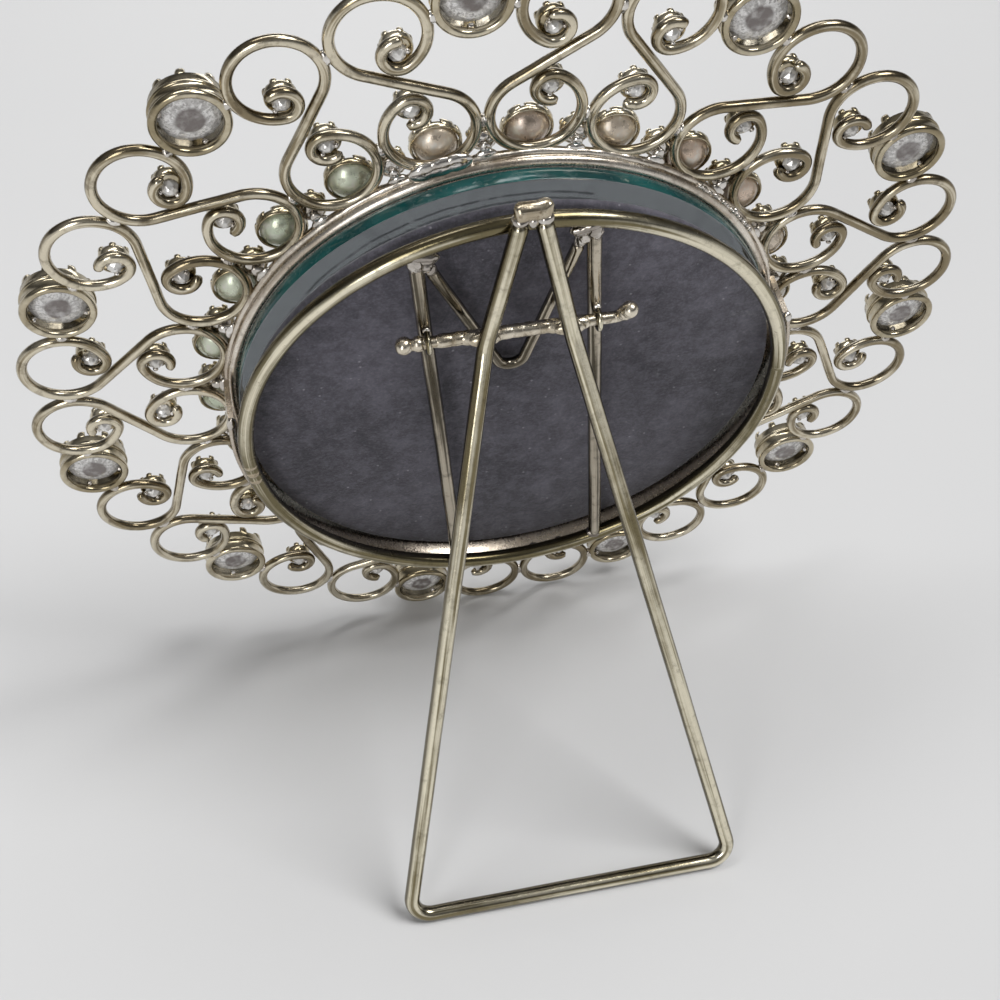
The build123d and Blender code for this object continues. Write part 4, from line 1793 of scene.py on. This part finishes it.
    def build_ring(self) -> None:
        """Make the cups and the coloured stones round the opening."""
        matrix = self.shop.stance.ring()
        places, turns = self.ring_spots()
        cup = self.ring_cup_mesh()
        cups = self.shop.set_mesh(
            cup, places, turns, Finish.CUP, seed=33, size_spread=0.01, turn_spread=0.3
        )
        self.shop.hand_in("ring_claw_cups", [cups], matrix, Body.FRAME, Slot.CUP, "ring_cups")
        r = self.ring_stone
        profile = [(0.0, -0.02), (r * 0.25, -0.1), (r * 0.49, -0.34), (r * 0.70, -0.74)]
        profile += [(r * 0.87, -1.24), (r * 0.97, -1.7), (r, -2.0), (r, -2.25), (r * 0.96, -2.4)]
        profile += [(r * 0.56, -3.2), (r * 0.5, -3.28), (0.0, -3.3)]
        stone = lathe("ring_stone", profile, segments=32)
        for vertex in stone.vertices:
            vertex.co *= 1.0 - 0.02 * (1.0 + noise.noise(vertex.co * 0.9))
        tints = [tint.value for tint in self.tints]
        stones = self.shop.set_mesh(
            stone, places, turns, Finish.COLOURED_STONE, seed=34, turn_spread=0.5, tints=tints
        )
        self.shop.hand_in(
            "ring_coloured_stones", [stones], matrix, Body.FRAME, Slot.COLOURED, "ring_stones"
        )

    def build(self) -> None:
        """Make all the small settings."""
        self.build_small()
        self.build_ring()


@dataclass
class Pocket:
    """The front ring, the glass, the board and the wall that holds them."""

    shop: Workshop
    plan: RingPlan
    glass: float = 41.9
    glass_front: float = 1.85
    glass_thick: float = 2.3
    board: float = 41.2
    board_back: float = 7.4
    board_thick: float = 1.1
    wall: float = 43.05
    wall_rise: float = 1.15
    wall_thick: float = 0.8
    wall_open: float = 78.5
    wall_front: float = 1.8
    wall_back: float = 9.8
    wall_ease: float = 0.22
    wall_steps: int = 220
    wall_solder: tuple[tuple[float, float], ...] = (
        (-79.5, 1.3),
        (79.5, 1.1),
        (178.0, 1.0),
        (172.0, 0.8),
        (120.0, 0.8),
        (-125.0, 0.9),
    )
    floor_gap: float = 0.3
    bead_out: float = 0.95
    bead_radius: float = 0.72
    patch_solder: tuple[tuple[float, float], ...] = ((-11.0, 2.6), (-8.2, 3.2), (-5.6, 2.4))
    crumb_count: int = 26
    crumb_start: float = 44.0
    crumb_sweep: float = 18.0

    def webs(self) -> list[Lump]:
        """Return the solder in the gaps between the inner loops.

        Returns:
            Two lumps for each gap.
        """
        plan = self.plan
        found = []
        for number in range(2 * plan.stones):
            bulk = 1.0 + 0.5 * noise.noise(Vector((number * 1.7, 3.0, 6.0)))
            turn = plan.angle(number / 2)
            at = plan.at(number / 2, 0, plan.front_ring + 1.45, -0.2)
            found.append(Lump(at, (1.5 * bulk, 0.9 * bulk, 0.6), turn))
            at = plan.at(number / 2, 0, plan.front_ring + 2.2, -0.45)
            found.append(Lump(at, (0.85 * bulk, 1.2 * bulk, 0.5), turn))
        return found

    def patch(self) -> list[Lump]:
        """Return the large smooth patch of solder near the top of the ring.

        Returns:
            The lumps that make it up.
        """
        found = []
        for degrees, size in self.patch_solder:
            steps = degrees / self.plan.pitch
            at = self.plan.at(steps, 0, self.plan.front_ring + 1.55, 0.5)
            found.append(Lump(at, (size, 1.75, 0.85), self.plan.angle(steps)))
        return found

    def crumbs(self) -> list[Lump]:
        """Return the row of solder crumbs on one side of the ring.

        Returns:
            The crumbs, in the ring's frame.
        """
        plan = self.plan
        found = []
        for step in range(self.crumb_count):
            degrees = self.crumb_start + self.crumb_sweep * step / (self.crumb_count - 1)
            steps = degrees / plan.pitch
            stray = noise.noise(Vector((step * 1.7, 0.3, 4.0)))
            at = plan.at(steps, 0, plan.front_ring + 1.0 + 0.5 * stray, 0.75 + 0.5 * stray)
            size = 0.42 + 0.2 * noise.noise(Vector((step * 2.3, 5.0, 1.0)))
            found.append(Lump(at, (size * 1.2, size, size), plan.angle(steps) + stray))
        return found

    def build_ring(self) -> None:
        """Make the front ring with its bead of solder, webs, patch and crumbs."""
        plan = self.plan
        wire = self.shop.wire_mesh(
            circle(plan.front_ring, plan.front_ring_z),
            plan.front_ring_radius,
            Finish.RING,
            seed=2.0,
            closed=True,
            wobble=0.05,
            swell=0.02,
            step=0.6,
            sides=20,
        )
        bead_wire = self.shop.wire_mesh(
            circle(plan.front_ring + self.bead_out, 0.0),
            self.bead_radius,
            Finish.RING,
            seed=5.0,
            closed=True,
            wobble=0.30,
            swell=0.42,
            step=0.4,
            sides=14,
        )
        webs = self.shop.lump_mesh(self.webs(), Finish.SOLDER, crumple=0.09, length=1.0)
        crumbs = self.shop.lump_mesh(
            self.crumbs(), Finish.SOLDER, crumple=0.14, length=0.5, detail=3.0, facets=3
        )
        patch = self.shop.lump_mesh(
            self.patch(), Finish.SOLDER, crumple=0.05, length=1.0, detail=1.0, facets=5
        )
        self.shop.hand_in(
            "opening_ring",
            [wire, bead_wire, webs, crumbs, patch],
            self.shop.stance.ring(),
            Body.FRAME,
            Slot.RING,
            "front_ring",
        )

    def disc_rise(self, radius: float) -> float:
        """Return how high the middle of a disc is that stands on the pocket's bottom."""
        return self.wall_rise - self.wall + self.floor_gap + radius

    def disc(
        self, name: str, radius: float, low: float, high: float, edge: float
    ) -> bpy.types.Mesh:
        """Return a round disc with eased edges, standing on the pocket's bottom.

        Args:
            name: the mesh's name.
            radius: its radius.
            low: its front face.
            high: its back face.
            edge: how much its edges are eased.

        Returns:
            The disc's mesh.
        """
        profile = [(0.0, low), (radius * 0.5, low), (radius - edge, low)]
        profile += [(radius - edge * 0.3, low + edge * 0.3), (radius, low + edge)]
        profile += [(radius, high - edge), (radius - edge * 0.3, high - edge * 0.3)]
        profile += [(radius - edge, high), (radius * 0.5, high), (0.0, high)]
        mesh = lathe(name, profile, segments=180)
        mesh.transform(Matrix.Translation((0, self.disc_rise(radius), 0)))
        return mesh

    def build_discs(self) -> None:
        """Make the glass with its cut edge, and the flocked board."""
        matrix = self.shop.stance.ring()
        back = self.glass_front + self.glass_thick
        glass = self.disc("pane", self.glass, self.glass_front, back, edge=0.18)
        glass.materials.append(self.shop.finish(Finish.PANE))
        glass.materials.append(self.shop.finish(Finish.PANE_EDGE))
        rise = self.disc_rise(self.glass)
        span = [math.hypot(vertex.co.x, vertex.co.y - rise) for vertex in glass.vertices]
        store_values(glass, "span", "POINT", span)
        for face in glass.polygons:
            flat = abs(face.normal.z) > 0.9
            face.use_smooth = not flat
            face.material_index = 0 if flat else 1
        self.shop.hand_in("pane", [glass], matrix, Body.PANE, Slot.PANE, "glass")
        low = self.board_back - self.board_thick
        board = self.disc("flock_board", self.board, low, self.board_back, edge=0.45)
        board.materials.append(self.shop.finish(Finish.FLOCK))
        for vertex in board.vertices:
            stray = noise.noise(vertex.co * 0.6)
            if math.hypot(vertex.co.x, vertex.co.y) > self.board - 1.5:
                shrink = 1.0 - 0.0015 * (1.0 + stray)
                vertex.co.x *= shrink
                vertex.co.y *= shrink
        self.shop.hand_in("flocked_board", [board], matrix, Body.BOARD, Slot.FLOCK, "backing_board")

    def wall_point(self, radius: float, angle: float, z: float) -> Point:
        """Return a point round the wall's own middle, the angle from the top in radians."""
        return (radius * math.sin(angle), self.wall_rise + radius * math.cos(angle), z)

    def build_wall(self) -> None:
        """Make the strip round the lower part of the pocket, with its solder."""
        book = bmesh.new()
        ease = self.wall_ease
        low = self.wall_front
        high = self.wall_back
        inner = self.wall
        outer = self.wall + self.wall_thick
        section = [(inner + ease, low), (outer - ease, low), (outer, low + ease)]
        section += [(outer, high - ease), (outer - ease, high), (inner + ease, high)]
        section += [(inner, high - ease), (inner, low + ease)]
        sweep = 360.0 - 2 * self.wall_open
        rings = []
        for step in range(self.wall_steps + 1):
            angle = math.radians(self.wall_open + sweep * step / self.wall_steps)
            spot = Vector((math.cos(angle) * 4, math.sin(angle) * 4, 0.0))
            stray = 0.04 * noise.noise(spot)
            ring = [book.verts.new(self.wall_point(radius + stray, angle, z)) for radius, z in section]
            rings.append(ring)
        skin(book, rings)
        book.faces.new(rings[0])
        book.faces.new(rings[-1])
        bmesh.ops.recalc_face_normals(book, faces=book.faces)
        strip = finished(book, "pocket_strip")
        strip.materials.append(self.shop.finish(Finish.STRIP))
        lumps = []
        for degrees, size in self.wall_solder:
            angle = math.radians(degrees)
            at = self.wall_point(self.wall + self.wall_thick / 2, angle, self.wall_back - 0.1)
            lumps.append(Lump(at, (0.7, size, 0.6), -angle + math.pi / 2))
        solder = self.shop.lump_mesh(lumps, Finish.SOLDER, crumple=0.15, length=0.7)
        matrix = self.shop.stance.ring()
        pieces = [strip, solder]
        self.shop.hand_in("pocket_strip", pieces, matrix, Body.FRAME, Slot.RING, "pocket_wall")

    def build(self) -> None:
        """Make the whole pocket."""
        self.build_ring()
        self.build_discs()
        self.build_wall()


@dataclass
class Back:
    """The rear hoop, the struts, the backing spring and the eyes."""

    shop: Workshop
    hoop: float = 41.7
    hoop_z: float = 11.1
    hoop_radius: float = 1.25
    hoop_solder: tuple[tuple[float, float], ...] = ((-92.0, 1.0), (-94.5, 0.8), (-89.5, 0.7))
    strut_x: float = 12.3
    strut_radius: float = 1.1
    lump_y: float = 36.3
    spring_radius: float = 0.9
    spring_top: Point = (10.4, 35.2, 10.6)
    spring_foot: Point = (0.0, 5.2, 8.55)
    spring_bend: float = 2.2
    eye_radius: float = 0.4
    eye_bend: float = 1.4
    eye_foot: float = -1.05
    eyes: tuple[float, float] = (-14.1010, 10.5753)
    bar_y: float = 22.4
    bar_z: float = 13.3

    def build_hoop(self) -> None:
        """Make the rear hoop with its soldered joint on the left."""
        wire = self.shop.wire_mesh(
            circle(self.hoop, self.hoop_z),
            self.hoop_radius,
            Finish.BACK_WIRE,
            seed=11.0,
            closed=True,
            wobble=0.07,
            swell=0.018,
            step=0.55,
            sides=22,
        )
        lumps = []
        for degrees, size in self.hoop_solder:
            angle = math.radians(degrees)
            at = (self.hoop * math.sin(angle), self.hoop * math.cos(angle), self.hoop_z + 0.3)
            lumps.append(Lump(at, (1.12, 1.2 * size, 1.05), -angle + math.pi / 2))
        solder = self.shop.lump_mesh(lumps, Finish.BRAZE, crumple=0.12, length=0.8)
        self.shop.hand_in(
            "back_hoop", [wire, solder], self.shop.stance.ring(), Body.FRAME, Slot.BACK, "rear_hoop"
        )

    def build_struts(self) -> None:
        """Make the two struts with the solder at their ends."""
        reach = math.sqrt(self.hoop**2 - self.strut_x**2) - 0.3
        y = self.lump_y
        z = self.hoop_z
        for side, label in ((-1, "left"), (1, "right")):
            x = side * self.strut_x
            path = [(x, -reach, z), (x, reach, z)]
            wire = self.shop.wire_mesh(
                path, self.strut_radius, Finish.DARK_SHADED_WIRE, seed=13.0 + side, swell=0.03
            )
            inward = x - side * 1.3
            lumps = [
                Lump((x, y + 1.4, z), (1.3, 2.2, 1.25)),
                Lump((inward + side * 0.2, y + 0.4, z - 0.1), (1.5, 1.1, 0.95), side * 0.6),
                Lump((inward - side * 0.5, y - 0.3, z - 0.3), (1.0, 1.5, 0.95), -side * 0.35),
                Lump((inward, y + 2.0, z), (1.9, 1.0, 1.0), side * 0.35),
                Lump((x - side * 0.7, reach - 0.4, z + 0.2), (2.9, 0.8, 1.1), side * 0.3),
                Lump((x, -reach + 0.4, z), (1.6, 0.9, 1.15), -side * 0.3),
            ]
            solder = self.shop.lump_mesh(
                lumps, Finish.DROSS, crumple=0.2, length=1.2, detail=1.5, facets=5
            )
            self.shop.hand_in(
                f"back_strut_{label}",
                [wire, solder],
                self.shop.stance.ring(),
                Body.FRAME,
                Slot.BACK,
                f"strut_{label}",
            )

    def build_spring(self) -> None:
        """Make the V of wire that lies behind the board."""
        x, y, z = self.spring_top
        path = rounded_path([(-x, y, z), self.spring_foot, (x, y, z)], [self.spring_bend])
        wire = self.shop.wire_mesh(
            path, self.spring_radius, Finish.DARK_SHADED_WIRE, seed=17.0, wobble=0.06
        )
        self.shop.hand_in(
            "back_spring", [wire], self.shop.stance.ring(), Body.FRAME, Slot.BACK, "backing_spring"
        )

    def build_eyes(self) -> None:
        """Make the two wire eyes of the bar, with solder at their feet."""
        for x, label in zip(self.eyes, ("left", "right")):
            bend = self.eye_bend
            line = [(-bend, self.eye_foot, 0.0)]
            line += arc((0.0, 0.0), bend, 180.0, -180.0)
            line.append((bend, self.eye_foot, 0.0))
            path = [(x, self.bar_y + along, self.bar_z + out) for along, out, _ in line]
            wire = self.shop.wire_mesh(
                path,
                self.eye_radius,
                Finish.BACK_WIRE,
                seed=19.0 + x,
                wobble=0.02,
                swell=0.03,
                step=0.2,
                sides=14,
            )
            lumps = []
            for end in (-1, 1):
                at = (x, self.bar_y + end * (bend + 0.1), self.bar_z + self.eye_foot + 0.1)
                lumps.append(Lump(at, (0.6, 0.6, 0.35)))
            solder = self.shop.lump_mesh(lumps, Finish.SOLDER, crumple=0.1, length=0.5)
            self.shop.hand_in(
                f"bar_eye_{label}",
                [wire, solder],
                self.shop.stance.back(),
                Body.FRAME,
                Slot.BACK,
                f"eye_{label}",
            )

    def build(self) -> None:
        """Make everything on the back that stays with the frame."""
        self.build_hoop()
        self.build_struts()
        self.build_spring()
        self.build_eyes()


@dataclass
class EaselLeg:
    """The leg, the bar that it hangs on and its brazed cap."""

    shop: Workshop
    bar_y: float = 22.4
    bar_z: float = 13.3
    bar_radius: float = 0.9
    bar_left: float = -17.4
    bar_right: float = 13.6
    bar_hook: Point = (14.7, 25.0, 14.5)
    hook_round: float = 1.0
    braze_count: int = 12
    braze_start: float = -11.6
    braze_step: float = 1.75
    knob: float = 1.25
    leg_radius: float = 1.25
    bend: Point = (6.2, 23.0309, 15.5)
    tip: Point = (1.45, 44.3, 13.5632)
    foot: Point = (27.6, -58.7212, 66.5844)
    bend_round: float = 6.0
    corner_round: float = 3.2
    cap: Point = (5.6, 3.0, 2.7)
    cap_y: float = 44.675
    cap_round: float = 1.3
    splay: float = 32.0

    def build_bar(self) -> None:
        """Make the bar with its knob, its hooked end and the braze at the leg."""
        y = self.bar_y
        z = self.bar_z
        corners = [(self.bar_left, y, z), (self.bar_right, y, z), self.bar_hook]
        path = rounded_path(corners, [self.hook_round])
        wire = self.shop.wire_mesh(
            path,
            self.bar_radius,
            Finish.BRAZE,
            seed=23.0,
            wobble=0.05,
            swell=0.05,
            step=0.35,
            sides=18,
        )
        k = self.knob
        hook = Vector(self.bar_hook)
        lumps = [
            Lump((self.bar_left - 0.1, y, z), (k * 1.05, k * 1.08, k * 1.08)),
            Lump((self.bar_left + 1.9, y, z), (k * 0.9, k * 0.92, k * 0.92)),
            Lump(tuple(hook), (1.25, 1.3, 1.3)),
            Lump(tuple(hook - Vector((0.5, 1.2, 0.6))), (1.15, 1.2, 1.15)),
        ]
        for step in range(self.braze_count):
            x = self.braze_start + self.braze_step * step
            lumps.append(Lump((x, y, z), (2.6, 1.04, 1.04)))
        for side in (-1, 1):
            x = side * self.bend[0]
            lumps.append(Lump((x, y + 0.1, z + 0.75), (2.5, 1.2, 1.2)))
            lumps.append(Lump((x - 1.7, y, z + 0.2), (2.2, 1.12, 1.05)))
            lumps.append(Lump((x + 1.5, y, z + 0.2), (2.0, 1.12, 1.05)))
        braze = self.shop.lump_mesh(lumps, Finish.BRAZE, crumple=0.08, length=1.6)
        self.shop.hand_in(
            "leg_bar", [wire, braze], self.shop.stance.back(), Body.LEG, Slot.BACK, "pivot_bar"
        )

    def build_leg(self) -> None:
        """Make the bent wire of the leg."""

        def mirrored(point: Point) -> Point:
            """Return the same point on the left."""
            return (-point[0], point[1], point[2])

        corners = [mirrored(self.tip), mirrored(self.bend), mirrored(self.foot)]
        corners += [self.foot, self.bend, self.tip]
        radii = [self.bend_round, self.corner_round, self.corner_round, self.bend_round]
        path = rounded_path(corners, radii)
        # the leg's crest is tilted by its splay; its flanks away from the crest get painted shade
        splay = math.radians(self.splay)
        crest = (0.0, math.sin(splay), math.cos(splay))
        wire = self.shop.wire_mesh(
            path,
            self.leg_radius,
            Finish.LEG_WIRE,
            seed=29.0,
            wobble=0.05,
            swell=0.012,
            step=0.5,
            sides=24,
            crest=crest,
        )
        self.shop.hand_in(
            "wire_leg", [wire], self.shop.stance.back(), Body.LEG, Slot.BACK, "easel_leg"
        )

    def build_cap(self) -> None:
        """Make the lumpy brazed cap on the leg's two ends."""
        width, height, thick = self.cap
        y = self.cap_y
        z = self.tip[2]
        book = bmesh.new()
        bmesh.ops.create_cube(book, size=1.0)
        bmesh.ops.scale(book, vec=(width, height, thick), verts=book.verts)
        bmesh.ops.bevel(
            book, geom=book.edges[:], offset=self.cap_round, segments=5, profile=0.5, affect="EDGES"
        )
        bmesh.ops.subdivide_edges(book, edges=book.edges[:], cuts=2, use_grid_fill=True)
        for vertex in book.verts:
            stray = noise.noise(vertex.co * 0.8 + Vector((3.0, 1.0, 8.0)))
            saddle = 0.15 * math.cos(vertex.co.x * 0.9) if vertex.co.y > 0 else 0.0
            vertex.co += vertex.normal * (0.16 * stray - 0.12)
            vertex.co.y += 0.06 * vertex.co.x - saddle
        for face in book.faces:
            face.smooth = True
        cap = finished(book, "cap")
        cap.transform(Matrix.Translation((0, y + height / 2, z)))
        cap.materials.append(self.shop.finish(Finish.BRAZE))
        lumps = [
            Lump((-1.7, y + 0.1, z + 0.1), (1.2, 0.8, 1.2)),
            Lump((1.6, y + 0.05, z + 0.1), (1.25, 0.85, 1.2)),
            Lump((0.0, y - 0.3, z + 0.1), (0.8, 1.0, 0.9)),
        ]
        drops = self.shop.lump_mesh(lumps, Finish.SOLDER, crumple=0.15, length=0.8)
        self.shop.hand_in(
            "leg_top_cap", [cap, drops], self.shop.stance.back(), Body.LEG, Slot.BACK, "leg_cap"
        )

    def build(self) -> None:
        """Make everything that swings."""
        self.build_bar()
        self.build_leg()
        self.build_cap()


@dataclass(frozen=True)
class Lamp:
    """One soft lamp: its place and size in metres, its power in watts."""

    name: str
    place: Point
    power: float
    size: tuple[float, float]


@dataclass
class Studio:
    """The pale floor, soft light and the camera at the photograph's place."""

    floor_half: float = 30.0
    lens: float = 54.3057
    eye: Point = (35.449, 198.588, 224.355)
    right: Point = (-0.97977, 0.19958, -0.01498)
    up: Point = (-0.1505, -0.68538, 0.71246)
    target: Point = (0.0, 0.02, 0.07)
    sky_toward: Point = (-0.24, 0.10, 0.46)
    sky_strength: float = 2.1
    sky_spread: float = 28.0
    lamps: tuple[Lamp, ...] = (
        Lamp("fill", (0.30, 0.52, 0.28), 0.8, (0.16, 0.34)),
        Lamp("top", (0.05, -0.10, 0.60), 0.9, (0.50, 0.10)),
        Lamp("rear", (-0.10, -0.50, 0.22), 0.35, (0.40, 0.08)),
    )
    horizon: Colour = (0.52, 0.52, 0.52, 1.0)
    above: Colour = (0.06, 0.06, 0.062, 1.0)
    overhead: Colour = (0.26, 0.26, 0.26, 1.0)

    def floor(self, material: bpy.types.Material) -> None:
        """Lay the floor.

        Args:
            material: the floor's material.
        """
        half = self.floor_half
        mesh = bpy.data.meshes.new("floor")
        corners = [(-half, -half, 0), (half, -half, 0), (half, half, 0), (-half, half, 0)]
        mesh.from_pydata(corners, [], [(0, 1, 2, 3)])
        mesh.materials.append(material)
        floor = bpy.data.objects.new("floor", mesh)
        bpy.context.scene.collection.objects.link(floor)

    def hang(self, lamp: Lamp) -> None:
        """Hang one soft lamp that faces the frame.

        Args:
            lamp: the lamp to hang.
        """
        data = bpy.data.lights.new(lamp.name, "AREA")
        data.shape = "RECTANGLE"
        data.size, data.size_y = lamp.size
        data.energy = lamp.power
        hung = bpy.data.objects.new(lamp.name, data)
        hung.location = lamp.place
        aim = Vector(self.target) - Vector(lamp.place)
        hung.rotation_euler = aim.to_track_quat("-Z", "Y").to_euler()
        bpy.context.scene.collection.objects.link(hung)

    def sky(self) -> None:
        """Light the whole floor evenly from one wide soft source."""
        data = bpy.data.lights.new("sky", "SUN")
        data.energy = self.sky_strength
        data.angle = math.radians(self.sky_spread)
        hung = bpy.data.objects.new("sky", data)
        hung.location = self.sky_toward
        hung.rotation_euler = Vector(self.sky_toward).to_track_quat("Z", "Y").to_euler()
        bpy.context.scene.collection.objects.link(hung)

    def world(self) -> None:
        """Set a grey room: pale at the horizon, dark over it and lighter overhead."""
        world = bpy.data.worlds.new("studio")
        bpy.context.scene.world = world
        world.use_nodes = True
        world.node_tree.nodes.clear()
        sheet = NodeSheet(world.node_tree)
        place = sheet.add("ShaderNodeTexCoord", None, None, "Generated")
        split = sheet.add("ShaderNodeSeparateXYZ", None, {0: place}, "Z")
        room = sheet.mix(split.ramp(0.25, 0.85), self.above, self.overhead)
        room = sheet.mix(split.ramp(0.0, 0.32), self.horizon, room)
        light = sheet.add("ShaderNodeBackground", None, {"Color": room, "Strength": 1.0})
        sheet.add("ShaderNodeOutputWorld", None, {"Surface": light})

    def camera(self) -> None:
        """Place the camera."""
        data = bpy.data.cameras.new("camera")
        data.lens = self.lens
        data.sensor_width = 36.0
        data.clip_start = 0.005
        camera = bpy.data.objects.new("camera", data)
        right = Vector(self.right).normalized()
        up = Vector(self.up)
        up = (up - right * up.dot(right)).normalized()
        back = right.cross(up)
        rows = [(right[i], up[i], back[i], self.eye[i] * MM) for i in range(3)]
        camera.matrix_world = Matrix((*rows, (0, 0, 0, 1)))
        bpy.context.scene.collection.objects.link(camera)
        bpy.context.scene.camera = camera

    def build(self, floor: bpy.types.Material) -> None:
        """Set up the studio.

        Args:
            floor: the floor's material.
        """
        self.floor(floor)
        self.sky()
        for lamp in self.lamps:
            self.hang(lamp)
        self.world()
        self.camera()
        bpy.context.scene.view_settings.view_transform = "Standard"


def main() -> None:
    """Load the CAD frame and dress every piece."""
    logging.basicConfig(level=logging.INFO, format="%(message)s")
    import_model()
    shop = Workshop(Stance())
    plan = RingPlan()
    ScrollRing(shop, plan).build()
    StoneCups(shop, plan).build()
    SmallSettings(shop, plan).build()
    Pocket(shop, plan).build()
    Back(shop).build()
    EaselLeg(shop).build()
    Studio().build(shop.finish(Finish.FLOOR))


if __name__ == "__main__":
    main()
